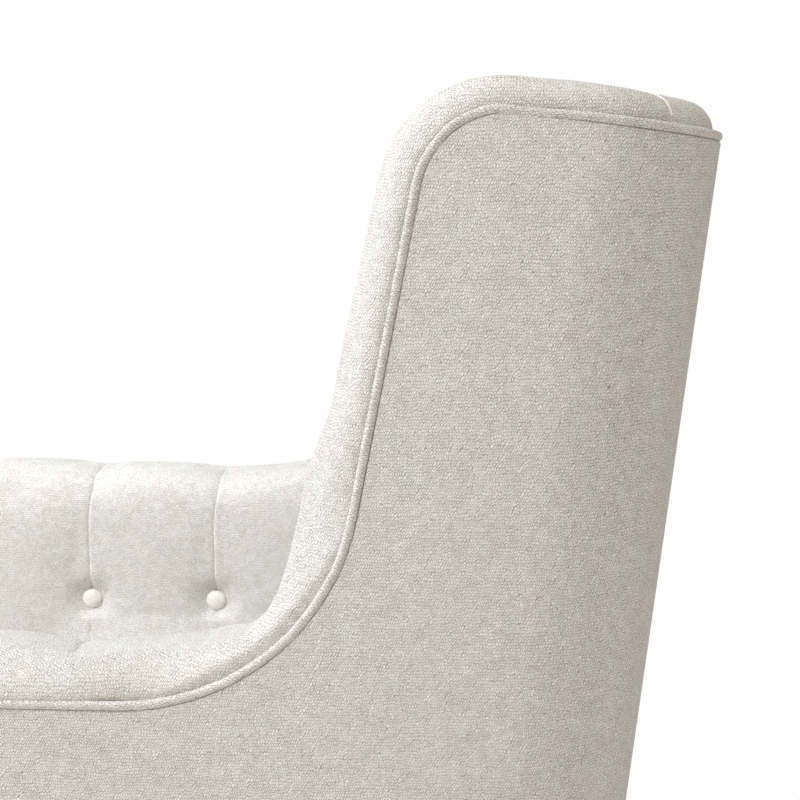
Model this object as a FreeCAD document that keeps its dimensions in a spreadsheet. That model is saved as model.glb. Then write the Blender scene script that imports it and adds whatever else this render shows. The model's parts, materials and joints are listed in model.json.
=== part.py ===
"""Swivel glider chair: a tufted wing chair that turns on a ball race and glides on four swing links.

Millimetres, +Z up, the sitter faces -Y. The origin is on the floor, on the swivel axis.
Left and right are the sitter's: left is +X. A positive shift of a shell line moves it out of the chair.
"""

import FreeCAD
import Part
import Sketcher
import math
import os
from FreeCAD import Placement, Rotation, Vector

SIZES = [
    # the upholstered shell, along the welt line that divides its outer panels from its rolled padding
    ("chair_width", 730, "over the outer side panels"),
    ("chair_depth", 775, "front of the arm rolls to the top of the outer back"),
    ("floor_gap", 90, "floor to the lower edge of the covers"),
    ("arm_height", 620, "welt line on the arms"),
    ("back_height", 1028, "where the wing line and the top line would meet"),
    ("wing_depth", 200, "outer back to the wing line, at the top"),
    ("wing_lean", 10.8, "degrees from upright"),
    ("back_lean", 6.5, "degrees from upright, of the outer back"),
    ("top_slope", 7, "degrees, the top falls to the rear"),
    ("arm_corner", 60, "radius at the top of the arm front"),
    ("arm_sweep", 165, "radius from the arm up to the wing"),
    ("wing_corner", 61, "radius at the top of the wing"),
    ("wall_thickness", 100, "of a side wall, and the radius of the rear corners"),
    ("crown", 26, "rolled padding above the welt line"),
    ("inner_roll", 40, "radius of the roll on the sitter's side"),
    ("outer_roll", 22, "radius of the roll at the welt"),
    ("roll_pad", 40, "depth of the rolled padding over the frame"),
    ("panel_thickness", 6, "board, wadding and cloth of an outer panel"),
    ("seam_lap", 5, "flat run of a side panel past its rear corner"),
    ("arm_pad", 35, "padding on the inside of the arms"),
    ("back_depth", 120, "outer back to inside back, at the top"),
    ("back_pad", 50, "padding of the inside back"),
    ("inside_back_lean", 11, "degrees from upright"),
    ("fit_gap", 0.3, "between separate pieces that lie against each other"),
    ("piping_diameter", 7.6, "welt cord with its cloth"),
    ("border_pad", 22, "padding of the front border"),
    # tufting
    ("button_diameter", 22, "covered button"),
    ("button_rise", 6, "height of the button's dome"),
    ("tuft_depth", 14, "how far a button is drawn in"),
    ("tuft_radius", 30, "where the drawn-in cloth starts"),
    ("pleat_bar", 11, "side of the square that cuts an upright pleat"),
    ("arm_tuft_pitch", 138, "between the buttons of an arm"),
    ("arm_tuft_middle", -69, "middle button of an arm, along the depth"),
    ("arm_tuft_height", 517, "buttons of an arm above the floor"),
    ("back_tuft_pitch", 140, "between the button columns of the back"),
    ("back_tuft_low", 600, "lowest row of back buttons above the floor"),
    ("back_tuft_rise", 140, "between the rows of back buttons"),
    # seat
    ("deck_height", 300, "top of the seat deck"),
    ("deck_thickness", 12.4, "felt and cloth over the webbing"),
    ("cushion_thickness", 138, "between the cushion's flat faces"),
    ("cushion_crown", 18, "rise of the cushion's top"),
    ("cushion_shoulder", 68, "cushion's edge to the shoulder of its crown"),
    ("shoulder_rise", 12.6, "rise of that shoulder"),
    ("cushion_plateau", 129, "cushion's edge to the flat of its crown"),
    ("cushion_corner", 45, "radius of the cushion's corners"),
    ("cushion_bend", 1350, "radius in the middle of a drawn-in side"),
    ("cushion_seam", 8.6, "cushion's face to the middle of its welt"),
    ("cushion_draw", 5, "how far the cushion's sides pull in"),
    ("cushion_gap", 3, "cushion to the arms and the inside back"),
    # wooden frame
    ("plywood", 18, "rails"),
    ("frame_rim", 45, "width of a side frame's rim"),
    ("frame_web", 15, "thickness of a side frame's web"),
    ("frame_setback", 45, "outer back face to the rear of the side frames"),
    ("frame_foot", 3, "cover edge to the underside of the frame"),
    ("rail_top", 285, "top of the seat rails"),
    ("mounting_rail_width", 45, "wooden rails over the mechanism"),
    ("back_rail_height", 60, "rails behind the inside back"),
    ("back_rail_thickness", 24, "rails behind the inside back"),
    ("lumbar_height", 500, "middle of the lumbar rail"),
    ("top_rail_drop", 70, "welt line to the middle of the back top rail"),
    ("block_leg", 60, "leg of a corner block"),
    ("block_height", 70, "corner block"),
    ("webbing_width", 50, "elastic straps of the back"),
    ("webbing_thickness", 2, "elastic straps of the back"),
    ("seat_strap_width", 70, "elastic straps of the seat"),
    ("seat_strap_pitch", 105, "between the straps of the seat"),
    # floor base and swivel
    ("ring_radius", 250, "centre line of the floor ring"),
    ("ring_tube", 25, "tube diameter of the floor ring"),
    ("glide_height", 6, "floor to the underside of the ring"),
    ("glide_diameter", 34, "floor glides"),
    ("cross_width", 60, "arm of the base cross"),
    ("cross_thickness", 5, "base cross"),
    ("hub_diameter", 176, "middle of the base cross"),
    ("race_radius", 80, "outside of the swivel races"),
    ("race_thickness", 5.2, "swivel races"),
    ("race_gap", 3.6, "between the swivel races"),
    ("ball_circle", 65, "radius of the ball track"),
    ("ball_diameter", 8, "bearing balls"),
    ("ball_play", 0.1, "ball to its track"),
    ("retainer_thickness", 2, "ball retainer"),
    ("swivel_pin", 24, "diameter of the swivel pin"),
    ("pin_head", 36, "diameter of its heads"),
    ("pin_head_height", 4, "of its heads"),
    ("rivet_diameter", 6, "race rivets"),
    ("rivet_circle", 48, "radius of the rivet circle"),
    ("running_play", 0.06, "radial play of a turning fit"),
    # glide mechanism
    ("carriage_side", 330, "square carriage plate"),
    ("carriage_corner", 27.5, "radius of its corners"),
    ("carriage_thickness", 4, "carriage plate"),
    ("bracket_x", 150, "outer face of a hanger bracket"),
    ("foot_flange", 32, "foot of a hanger bracket, beyond its plate"),
    ("lightening_hole", 73, "hole in a hanger bracket"),
    ("steel_plate", 4, "brackets, ears and seat rails"),
    ("pivot_half_base", 120, "half the distance between front and rear pivots"),
    ("upper_pivot_height", 210, "upper pivots above the floor"),
    ("link_length", 110, "between a link's pivots"),
    ("link_width", 28, "swing link"),
    ("link_thickness", 5, "swing link"),
    ("boss_length", 6.3, "stand-off between bracket and link"),
    ("boss_diameter", 18, "stand-off at a pivot"),
    ("bush_flange", 1.6, "thickness of a bush flange"),
    ("bush_wall", 2.4, "wall of a bush"),
    ("bush_flange_diameter", 24, "bush flange"),
    ("pivot_diameter", 10, "pivot bolts"),
    ("bolt_head", 17, "across a pivot bolt's head"),
    ("bolt_head_height", 5.4, "pivot bolt's head"),
    ("nut_height", 8, "pivot nuts"),
    ("ear_gap", 11, "link to seat rail ear"),
    ("ear_width", 44, "seat rail ear"),
    ("rail_flange", 44, "width of a seat rail's flange"),
    ("rail_length", 370, "seat rails"),
    ("rail_lip", 12, "turned-down edge of a seat rail"),
    ("rail_clearance", 2, "hanger bracket to seat rail"),
    ("screw_diameter", 8, "seat rail screws"),
    ("screw_head", 16, "diameter of a screw's head"),
    ("screw_head_height", 4.8, "of a screw's head"),
    ("screw_inset", 16, "end of a seat rail to its screws"),
    ("stop_diameter", 16, "rubber glide stops"),
    ("glide_angle", 28, "degrees a link swings each way"),
    ("stop_reach", 60, "upper pivot to where a link meets its stop"),
]

BACK_COLUMNS = (-1, 0, 1)
BACK_ROWS = (0, 1, 2)
ARM_COLUMNS = (-1, 0, 1)
SEAT_STRAPS = (-2, -1, 0, 1, 2)
STRAPS = (-1.5, -0.5, 0.5, 1.5)
BALLS = 18
RIVETS = 4
GLIDES = 4
DIAGONAL = "45"
OVERRUN = "1"
TOUCHING = 0.01
NEARBY = 0.1

ALONG_X = Rotation(Vector(0, 1, 0), 90)
UPRIGHT = Rotation()

doc = FreeCAD.newDocument("SwivelGlider")
sheet = doc.addObject("Spreadsheet::Sheet", "Sizes")
for row, (alias, number, meaning) in enumerate(SIZES, start=1):
    sheet.set(f"A{row}", meaning)
    sheet.set(f"B{row}", str(number))
    sheet.setAlias(f"B{row}", alias)
doc.recompute()

pieces = {}


def value(expression):
    """The number that an expression of the sheet's sizes gives now."""
    return float(sheet.evalExpression(expression))


def keep(name, feature):
    """Labels a finished piece; its label names its file."""
    feature.Label = name
    pieces[name] = feature
    return feature


def bind(feature, **expressions):
    """Binds properties to expressions; a double underscore in a name stands for a dot."""
    for path, expression in expressions.items():
        feature.setExpression(path.replace("__", "."), expression)
    return feature


def place(feature, x="0", y="0", z="0", turn=UPRIGHT):
    """Puts a Part feature at a point given by expressions."""
    feature.Placement = Placement(Vector(value(x), value(y), value(z)), turn)
    return bind(feature, Placement__Base__x=x, Placement__Base__y=y, Placement__Base__z=z)


def box(name, x, y, z):
    """A block between two expressions on each axis."""
    block = doc.addObject("Part::Box", name)
    bind(block, Length=f"{x[1]} - ({x[0]})", Width=f"{y[1]} - ({y[0]})", Height=f"{z[1]} - ({z[0]})")
    return place(block, x[0], y[0], z[0])


def rod(name, x, y, z, diameter, length, turn=UPRIGHT):
    """A round bar that starts at a point and runs along the turned Z axis."""
    bar = doc.addObject("Part::Cylinder", name)
    bind(bar, Radius=f"({diameter}) / 2", Height=length)
    return place(bar, x, y, z, turn)


def cone(name, x, y, z, radius_1, radius_2, length, turn=UPRIGHT):
    """A cone frustum that starts at a point and runs along the turned Z axis."""
    frustum = doc.addObject("Part::Cone", name)
    bind(frustum, Radius1=radius_1, Radius2=radius_2, Height=length)
    return place(frustum, x, y, z, turn)


def group(name, members):
    """Several solids in one feature."""
    compound = doc.addObject("Part::Compound", name)
    compound.Links = members
    return compound


def cut(name, base, tool):
    """One solid, or group of solids, less another."""
    feature = doc.addObject("Part::Cut", name)
    feature.Base = base
    feature.Tool = tool
    return feature


def fuse(name, members):
    """Solids welded into one."""
    feature = doc.addObject("Part::MultiFuse", name)
    feature.Shapes = members
    return feature


def mirror(name, source):
    """The same feature on the other side of the chair."""
    feature = doc.addObject("Part::Mirroring", name)
    feature.Source = source
    feature.Normal = Vector(1, 0, 0)
    return feature


def body(name):
    """An empty PartDesign body."""
    return doc.addObject("PartDesign::Body", name)


def sketch(owner, name, role, offset="0", lean=None):
    """A sketch on one of its body's origin planes, moved along the normal or leant back about X."""
    drawing = owner.newObject("Sketcher::SketchObject", name)
    plane = next(p for p in owner.Origin.OriginFeatures if p.Role == role)
    drawing.AttachmentSupport = [(plane, "")]
    drawing.MapMode = "FlatFace"
    if lean:
        drawing.AttachmentOffset = Placement(Vector(), Rotation(Vector(-1, 0, 0), value(lean)))
        bind(drawing, AttachmentOffset__Rotation__Angle=lean)
    bind(drawing, AttachmentOffset__Base__z=offset)
    return drawing


class Drawing:
    """Collects lines, arcs and dimensions for a sketch, then adds them in one go."""

    def __init__(self, target):
        self.target = target
        self.first = target.GeometryCount
        self.shapes = []
        self.helpers = []
        self.rules = []
        self.bound = []

    def add(self, shape):
        """Notes a line or arc and gives its number."""
        self.shapes.append(shape)
        return self.first + len(self.shapes) - 1

    def rule(self, kind, *references):
        """Notes a geometric constraint."""
        self.rules.append(Sketcher.Constraint(kind, *references))

    def size(self, expression, kind, *references):
        """Notes a dimension that is bound to an expression."""
        self.bound.append((len(self.rules), expression))
        self.rules.append(Sketcher.Constraint(kind, *references, value(expression)))

    def hold(self, geometry, point, u, v):
        """Dimensions a point from the sketch's origin."""
        self.size(u, "DistanceX", -1, 1, geometry, point)
        self.size(v, "DistanceY", -1, 1, geometry, point)

    def finish(self):
        """Adds everything that was noted."""
        before = self.target.ConstraintCount
        self.target.addGeometry(self.shapes)
        for number in self.helpers:
            self.target.toggleConstruction(number)
        self.target.addConstraint(self.rules)
        for number, expression in self.bound:
            self.target.setExpression(f"Constraints[{before + number}]", expression)
        return self.target


def outline(drawing, corners, closed=True):
    """Straight runs between corners (u, v, radius); a radius of None leaves a corner sharp."""
    spots = [Vector(value(u), value(v), 0) for u, v, _ in corners]
    count = len(spots)
    arrive, leave, tips = list(spots), list(spots), {}
    for i, (_, _, radius) in enumerate(corners):
        if radius is None:
            continue
        back = (spots[i - 1] - spots[i]).normalize()
        ahead = (spots[(i + 1) % count] - spots[i]).normalize()
        half = back.getAngle(ahead) / 2
        reach = value(radius) / math.tan(half)
        arrive[i] = spots[i] + back * reach
        leave[i] = spots[i] + ahead * reach
        tips[i] = spots[i] + (back + ahead).normalize() * (value(radius) * (1 / math.sin(half) - 1))
    work = Drawing(drawing)
    runs = count if closed else count - 1
    lines = [work.add(Part.LineSegment(leave[i], arrive[(i + 1) % count])) for i in range(runs)]
    for i, (u, v, radius) in enumerate(corners):
        if not closed and i in (0, count - 1):
            work.hold(lines[0] if i == 0 else lines[-1], 1 if i == 0 else 2, u, v)
            continue
        before, after = lines[i - 1], lines[i]
        if radius is None:
            work.rule("Coincident", before, 2, after, 1)
            work.hold(after, 1, u, v)
            continue
        arc = work.add(Part.Arc(arrive[i], tips[i], leave[i]))
        turn = (tips[i] - arrive[i]).cross(leave[i] - tips[i]).z
        first, last = (1, 2) if turn > 0 else (2, 1)
        work.rule("Tangent", before, 2, arc, first)
        work.rule("Tangent", arc, last, after, 1)
        work.size(radius, "Radius", arc)
        point = work.add(Part.Point(spots[i]))
        work.helpers.append(point)
        work.rule("PointOnObject", point, 1, before)
        work.rule("PointOnObject", point, 1, after)
        work.hold(point, 1, u, v)
    return work.finish()


def circle(drawing, u, v, radius):
    """A dimensioned circle."""
    work = Drawing(drawing)
    loop = work.add(Part.Circle(Vector(value(u), value(v), 0), Vector(0, 0, 1), value(radius)))
    work.size(radius, "Radius", loop)
    work.hold(loop, 3, u, v)
    return work.finish()


def pad(owner, drawing, length, midplane=False):
    """Pads a sketch along its normal."""
    feature = owner.newObject("PartDesign::Pad", drawing.Name + "Pad")
    feature.Profile = drawing
    if midplane:
        feature.SideType = "Symmetric"
    return bind(feature, Length=length)


def pocket(owner, drawing, length=None):
    """Cuts a sketch against its normal, or both ways through everything."""
    feature = owner.newObject("PartDesign::Pocket", drawing.Name + "Pocket")
    feature.Profile = drawing
    if length:
        return bind(feature, Length=length)
    feature.SideType = "Symmetric"
    feature.Type = "ThroughAll"
    return feature


def fillet(owner, base, radius, chosen):
    """Rounds the edges of a feature for which chosen(edge) is true."""
    doc.recompute()
    names = [f"Edge{i}" for i, edge in enumerate(base.Shape.Edges, start=1) if chosen(edge)]
    feature = owner.newObject("PartDesign::Fillet", base.Name + "Fillet")
    feature.Base = (base, names)
    return bind(feature, Radius=radius)


# Shell lines in the side view, each shifted out of the chair by an expression.

HALF = "(Sizes.chair_width / 2)"
INNER = f"({HALF} - Sizes.wall_thickness)"
SEAM = f"({INNER} - Sizes.seam_lap)"
FRONT = "(-Sizes.chair_depth / 2)"
REAR = "(Sizes.chair_depth / 2)"
GAP = "Sizes.fit_gap"
WELT = "(Sizes.piping_diameter / 2)"
WING_TAN = "tan(Sizes.wing_lean)"
TOP_TAN = "tan(Sizes.top_slope)"
REAR_TAN = "tan(Sizes.back_lean)"
INSIDE_TAN = "tan(Sizes.inside_back_lean)"
WING_TOP_Y = f"({REAR} - Sizes.wing_depth)"
UNDER_ROLL = "(Sizes.crown - Sizes.roll_pad)"
PANEL_IN = f"(-Sizes.panel_thickness - {GAP})"
PAD_OUT = f"({HALF} - Sizes.panel_thickness - {GAP})"


def front_y(shift):
    """The upright line of the arm front."""
    return f"({FRONT} + Sizes.crown - ({shift}))"


def arm_z(shift):
    """The level line of the arm."""
    return f"(Sizes.arm_height + ({shift}))"


def wing_at_floor(shift):
    """Where the wing line would meet the floor."""
    return f"({WING_TOP_Y} - Sizes.back_height * {WING_TAN} - ({shift}) / cos(Sizes.wing_lean))"


def top_at_axis(shift):
    """The height at which the top line would cross the swivel axis."""
    return f"(Sizes.back_height + {WING_TOP_Y} * {TOP_TAN} + ({shift}) / cos(Sizes.top_slope))"


def rear_at_floor(shift):
    """Where the outer back would meet the floor."""
    return f"({REAR} - Sizes.back_height * {REAR_TAN} + ({shift}) / cos(Sizes.back_lean))"


def inside_at_floor(shift):
    """Where the inside back, moved to the rear by shift, would meet the floor."""
    inside = f"{REAR} - Sizes.back_depth - Sizes.back_height * {INSIDE_TAN}"
    return f"({inside} + ({shift}) / cos(Sizes.inside_back_lean))"


def rear_y(shift, z):
    """The outer back at a height."""
    return f"({rear_at_floor(shift)} + ({z}) * {REAR_TAN})"


def inside_y(shift, z):
    """The inside back at a height."""
    return f"({inside_at_floor(shift)} + ({z}) * {INSIDE_TAN})"


def under_top(at_floor, slope, shift):
    """Where a leaning line meets the top line."""
    y = f"(({at_floor} + {top_at_axis(shift)} * {slope}) / (1 + {TOP_TAN} * {slope}))"
    return y, f"({top_at_axis(shift)} - {y} * {TOP_TAN})"


def shell_corners(shift):
    """The three rounded corners of the shell's edge: arm front, arm to wing, and wing to top."""
    arm_wing_y = f"({wing_at_floor(shift)} + {arm_z(shift)} * {WING_TAN})"
    wing_y, wing_z = under_top(wing_at_floor(shift), WING_TAN, shift)
    return [
        (front_y(shift), arm_z(shift), f"Sizes.arm_corner + ({shift})"),
        (arm_wing_y, arm_z(shift), f"Sizes.arm_sweep - ({shift})"),
        (wing_y, wing_z, f"Sizes.wing_corner + ({shift})"),
    ]


def rear_corner_y(shift):
    """The outer back across its lean, as measured in a plane square to it."""
    return f"({REAR} * cos(Sizes.back_lean) - Sizes.back_height * sin(Sizes.back_lean) + ({shift}))"


FLOOR_EDGE = "Sizes.floor_gap"
FRAME_BOTTOM = "(Sizes.floor_gap + Sizes.frame_foot)"
CORNER_START = "(-Sizes.wall_thickness)"
ROOM = "(Sizes.chair_depth)"


def make_outer_side():
    """Outer side panel: flat along the arm, turned round the rear corner, cut to the welt line."""
    owner = body("OuterSide")
    plan = sketch(owner, "OuterSidePlan", "XY_Plane", lean="Sizes.back_lean")
    inside = f"({HALF} - Sizes.panel_thickness)"
    outline(plan, [
        (HALF, f"-{ROOM}", None),
        (HALF, rear_corner_y("0"), "Sizes.wall_thickness"),
        (SEAM, rear_corner_y("0"), None),
        (SEAM, rear_corner_y("-Sizes.panel_thickness"), None),
        (inside, rear_corner_y("-Sizes.panel_thickness"), "Sizes.wall_thickness - Sizes.panel_thickness"),
        (inside, f"-{ROOM}", None),
    ])
    pad(owner, plan, f"4 * {ROOM}", midplane=True)
    trim = sketch(owner, "OuterSideTrim", "YZ_Plane")
    edge = f"-{WELT} - {GAP}"
    outline(trim, [
        (front_y(edge), FLOOR_EDGE, None),
        *shell_corners(edge),
        (*under_top(rear_at_floor(ROOM), REAR_TAN, edge), None),
        (rear_y(ROOM, FLOOR_EDGE), FLOOR_EDGE, None),
    ])
    far = f"(3 * {ROOM})"
    outline(trim, [
        (f"-{far}", f"-{far}", None), (far, f"-{far}", None),
        (far, far, None), (f"-{far}", far, None),
    ])
    owner.Tip = pocket(owner, trim)
    keep("outer_side_left", owner)
    keep("outer_side_right", mirror("OuterSideMirror", owner))


def make_outer_back():
    """Outer back panel between the rear corners."""
    owner = body("OuterBack")
    side = sketch(owner, "OuterBackSide", "YZ_Plane")
    edge = f"-{WELT} - {GAP}"
    outline(side, [
        (rear_y("0", FLOOR_EDGE), FLOOR_EDGE, None),
        (*under_top(rear_at_floor("0"), REAR_TAN, edge), None),
        (*under_top(rear_at_floor("-Sizes.panel_thickness"), REAR_TAN, edge), None),
        (rear_y("-Sizes.panel_thickness", FLOOR_EDGE), FLOOR_EDGE, None),
    ])
    pad(owner, side, f"2 * ({SEAM} - {GAP})", midplane=True)
    keep("outer_back", owner)


def on_plane(edge, axis, position):
    """Whether an edge lies in the plane where one coordinate has the given value."""
    low = getattr(edge.BoundBox, axis + "Min")
    high = getattr(edge.BoundBox, axis + "Max")
    return abs(low - position) < TOUCHING and abs(high - position) < TOUCHING


def make_inside_arm():
    """Padding of an arm and wing: rolled over the frame's edge, tufted on the sitter's side."""
    owner = body("InsideArm")
    side = sketch(owner, "InsideArmSide", "YZ_Plane", offset=INNER)
    low = f"(Sizes.deck_height + {GAP})"
    wall_end = rear_at_floor(f"{CORNER_START} - {GAP}")
    outline(side, [
        (front_y("Sizes.crown"), low, None),
        *shell_corners("Sizes.crown"),
        (*under_top(wall_end, REAR_TAN, "Sizes.crown"), None),
        (f"({wall_end} + {low} * {REAR_TAN})", low, None),
    ])
    pad(owner, side, f"{PAD_OUT} - {INNER}")
    cavity = sketch(owner, "InsideArmCavity", "YZ_Plane", offset=PAD_OUT)
    behind = rear_at_floor(ROOM)
    outline(cavity, [
        (front_y(UNDER_ROLL), "0", None),
        *shell_corners(UNDER_ROLL),
        (*under_top(behind, REAR_TAN, UNDER_ROLL), None),
        (behind, "0", None),
    ])
    pocket(owner, cavity, f"{PAD_OUT} - {INNER} - Sizes.arm_pad")
    rear = sketch(owner, "InsideArmRear", "YZ_Plane", offset=f"({INNER} + Sizes.arm_pad)")
    pad_rear = inside_at_floor("Sizes.back_pad")
    outline(rear, [
        (pad_rear, "0", None),
        (*under_top(pad_rear, INSIDE_TAN, UNDER_ROLL), None),
        (*under_top(behind, REAR_TAN, UNDER_ROLL), None),
        (behind, "0", None),
    ])
    open_rear = pocket(owner, rear, "2 * Sizes.arm_pad")
    doc.recompute()
    rim = value(low)

    def on_rim(edge, x):
        return edge.BoundBox.ZMax > rim + 1 and on_plane(edge, "X", x) and is_on_roll(edge)

    roll = fillet(owner, open_rear, "Sizes.inner_roll", lambda e: on_rim(e, value(INNER)))
    fillet(owner, roll, "Sizes.outer_roll", lambda e: on_rim(e, value(PAD_OUT)))
    cutters = []
    for column in ARM_COLUMNS:
        y = f"(Sizes.arm_tuft_middle + {column} * Sizes.arm_tuft_pitch)"
        cutters.append(cone(f"ArmTuft{column}", INNER, y, "Sizes.arm_tuft_height", "Sizes.tuft_radius",
                            f"Sizes.button_diameter / 2 + {GAP}", "Sizes.tuft_depth", ALONG_X))
        bar = doc.addObject("Part::Box", f"ArmPleat{column}")
        bind(bar, Length="Sizes.pleat_bar", Width="Sizes.pleat_bar", Height="Sizes.arm_height")
        place(bar, f"({INNER} - Sizes.pleat_bar / sqrt(2))", y, "Sizes.deck_height",
              Rotation(Vector(0, 0, 1), -45))
        cutters.append(bar)
    tufted = cut("InsideArmTufted", owner, group("ArmTufting", cutters))
    keep("inside_arm_left", tufted)
    keep("inside_arm_right", mirror("InsideArmMirror", tufted))


def is_on_roll(edge):
    """Whether an edge lies on the crown line of the shell's edge in the side view."""
    corners = [(value(u), value(v), value(r)) for u, v, r in shell_corners("Sizes.crown")]
    if isinstance(edge.Curve, Part.Circle):
        return any(abs(edge.Curve.Radius - radius) < TOUCHING for _, _, radius in corners)
    point = edge.valueAt((edge.FirstParameter + edge.LastParameter) / 2)
    y, z = point.y, point.z
    from_wing = y - value(wing_at_floor("Sizes.crown")) - z * value(WING_TAN)
    from_top = z - value(top_at_axis("Sizes.crown")) + y * value(TOP_TAN)
    near_front = abs(y - value(front_y("Sizes.crown"))) < NEARBY
    near_arm = abs(z - value(arm_z("Sizes.crown"))) < NEARBY and y < corners[1][0]
    near_wing = abs(from_wing) < NEARBY and z > corners[1][1]
    near_top = abs(from_top) < NEARBY and y > corners[2][0]
    return near_front or near_arm or near_wing or near_top


DOME = "((Sizes.button_diameter ^ 2 / 4 + Sizes.button_rise ^ 2) / (2 * Sizes.button_rise))"


def make_buttons(name, spots, turn):
    """Covered buttons: a low dome on a flat back, seated in the tufts."""
    domes = []
    for i, (x, y, z) in enumerate(spots):
        dome = doc.addObject("Part::Sphere", f"{name}Dome{i}")
        bind(dome, Radius=DOME, Angle1=f"asin(1 - Sizes.button_rise / {DOME})")
        dome.Angle2 = 90
        domes.append(place(dome, x, y, z, turn))
    return group(name, domes)


def make_arm_buttons():
    """The row of covered buttons on the inside of each arm."""
    seat = f"({INNER} + Sizes.tuft_depth + {DOME} - Sizes.button_rise)"
    spots = [
        (seat, f"(Sizes.arm_tuft_middle + {column} * Sizes.arm_tuft_pitch)", "Sizes.arm_tuft_height")
        for column in ARM_COLUMNS
    ]
    row_left = make_buttons("ArmButtons", spots, Rotation(Vector(0, 1, 0), -90))
    keep("arm_buttons_left", row_left)
    keep("arm_buttons_right", mirror("ArmButtonsMirror", row_left))


def make_inside_back():
    """Padding of the inside back, with the roll over its top and round both rear corners."""
    owner = body("InsideBack")
    side = sketch(owner, "InsideBackSide", "YZ_Plane")
    low = f"(Sizes.deck_height + {GAP})"
    front = inside_at_floor("0")
    pad_rear = inside_at_floor("Sizes.back_pad")
    rear = rear_at_floor(PANEL_IN)
    outline(side, [
        (f"({front} + {low} * {INSIDE_TAN})", low, None),
        (*under_top(front, INSIDE_TAN, "Sizes.crown"), "Sizes.inner_roll"),
        (*under_top(rear, REAR_TAN, "Sizes.crown"), "Sizes.outer_roll"),
        (*under_top(rear, REAR_TAN, UNDER_ROLL), None),
        (*under_top(pad_rear, INSIDE_TAN, UNDER_ROLL), None),
        (f"({pad_rear} + {low} * {INSIDE_TAN})", low, None),
    ])
    pad(owner, side, f"2 * ({INNER} - {GAP})", midplane=True)
    corner = make_rear_corner()
    whole = fuse("InsideBackWhole", [owner, corner, mirror("RearCornerMirror", corner)])
    cutters = []
    lean = Rotation(Vector(-1, 0, 0), value("Sizes.inside_back_lean"))
    inward = Rotation(Vector(-1, 0, 0), 90 + value("Sizes.inside_back_lean"))
    for column in BACK_COLUMNS:
        x = f"({column} * Sizes.back_tuft_pitch)"
        for level in BACK_ROWS:
            z = f"(Sizes.back_tuft_low + {level} * Sizes.back_tuft_rise)"
            tuft = cone(f"BackTuft{column}_{level}", x, inside_y("0", z), z, "Sizes.tuft_radius",
                        f"Sizes.button_diameter / 2 + {GAP}", "Sizes.tuft_depth", inward)
            cutters.append(bind(tuft, Placement__Rotation__Angle="90 + Sizes.inside_back_lean"))
        bar = doc.addObject("Part::Box", f"BackPleat{column}")
        bind(bar, Length="Sizes.pleat_bar", Width="Sizes.pleat_bar", Height="Sizes.back_height")
        bar.Placement = Placement(Vector(), Rotation(Vector(0, 0, 1), 45))
        bind(bar, Placement__Base__y="-Sizes.pleat_bar / sqrt(2)")
        run = group(f"BackPleatRun{column}", [bar])
        place(run, x, inside_y("0", "Sizes.deck_height"), "Sizes.deck_height", lean)
        cutters.append(bind(run, Placement__Rotation__Angle="Sizes.inside_back_lean"))
    keep("inside_back", cut("InsideBackTufted", whole, group("BackTufting", cutters)))


def make_rear_corner():
    """A quarter turn of the roll about the inner edge of the wall, square to the lean of the back."""
    owner = body("RearCorner")
    section = sketch(owner, "RearCornerSection", "YZ_Plane")
    radius = f"(Sizes.wall_thickness - Sizes.panel_thickness - {GAP})"
    crown_z = f"({corner_height()} + Sizes.crown)"
    under_z = f"({corner_height()} + {UNDER_ROLL})"
    outline(section, [
        ("0", under_z, None),
        (radius, under_z, None),
        (radius, crown_z, "Sizes.outer_roll"),
        ("0", crown_z, None),
    ])
    turned = owner.newObject("PartDesign::Revolution", "RearCornerTurn")
    turned.Profile = section
    turned.ReferenceAxis = (section, ["V_Axis"])
    turned.Angle = 90
    turned.Reversed = True
    lean = Rotation(Vector(-1, 0, 0), value("Sizes.back_lean"))
    centre = f"({rear_corner_y(CORNER_START)})"
    axis_y = f"{centre} * cos(Sizes.back_lean)"
    axis_z = f"-{centre} * sin(Sizes.back_lean)"
    place(owner, f"({INNER} - {GAP})", axis_y, axis_z, lean)
    return bind(owner, Placement__Rotation__Angle="Sizes.back_lean")


def corner_height():
    """Height of the welt line at the start of a rear corner, measured along the lean of the back."""
    y, z = under_top(rear_at_floor(CORNER_START), REAR_TAN, "0")
    return f"({y} * sin(Sizes.back_lean) + {z} * cos(Sizes.back_lean))"


def make_back_buttons():
    """The grid of covered buttons on the inside back."""
    sink = f"(Sizes.tuft_depth + {DOME} - Sizes.button_rise)"
    spots = []
    for column in BACK_COLUMNS:
        for level in BACK_ROWS:
            z = f"(Sizes.back_tuft_low + {level} * Sizes.back_tuft_rise)"
            sunk_y = f"({inside_y('0', z)} + {sink} * cos(Sizes.inside_back_lean))"
            sunk_z = f"({z} - {sink} * sin(Sizes.inside_back_lean))"
            spots.append((f"({column} * Sizes.back_tuft_pitch)", sunk_y, sunk_z))
    forward = Rotation(Vector(1, 0, 0), 90 - value("Sizes.inside_back_lean"))
    domes = make_buttons("BackButtons", spots, forward)
    for dome in domes.Links:
        bind(dome, Placement__Rotation__Angle="90 - Sizes.inside_back_lean")
    keep("back_buttons", domes)


def make_arm_front():
    """Padded front of an arm, below the seat deck."""
    owner = body("ArmFront")
    plan = sketch(owner, "ArmFrontPlan", "XY_Plane", offset=FLOOR_EDGE)
    outline(plan, [
        (INNER, front_y("Sizes.crown"), "Sizes.inner_roll - 2 * Sizes.fit_gap"),
        (PAD_OUT, front_y("Sizes.crown"), "Sizes.outer_roll"),
        (PAD_OUT, front_y(UNDER_ROLL), None),
        (INNER, front_y(UNDER_ROLL), None),
    ])
    pad(owner, plan, f"Sizes.deck_height - {FLOOR_EDGE}")
    keep("arm_front_left", owner)
    keep("arm_front_right", mirror("ArmFrontMirror", owner))


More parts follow.
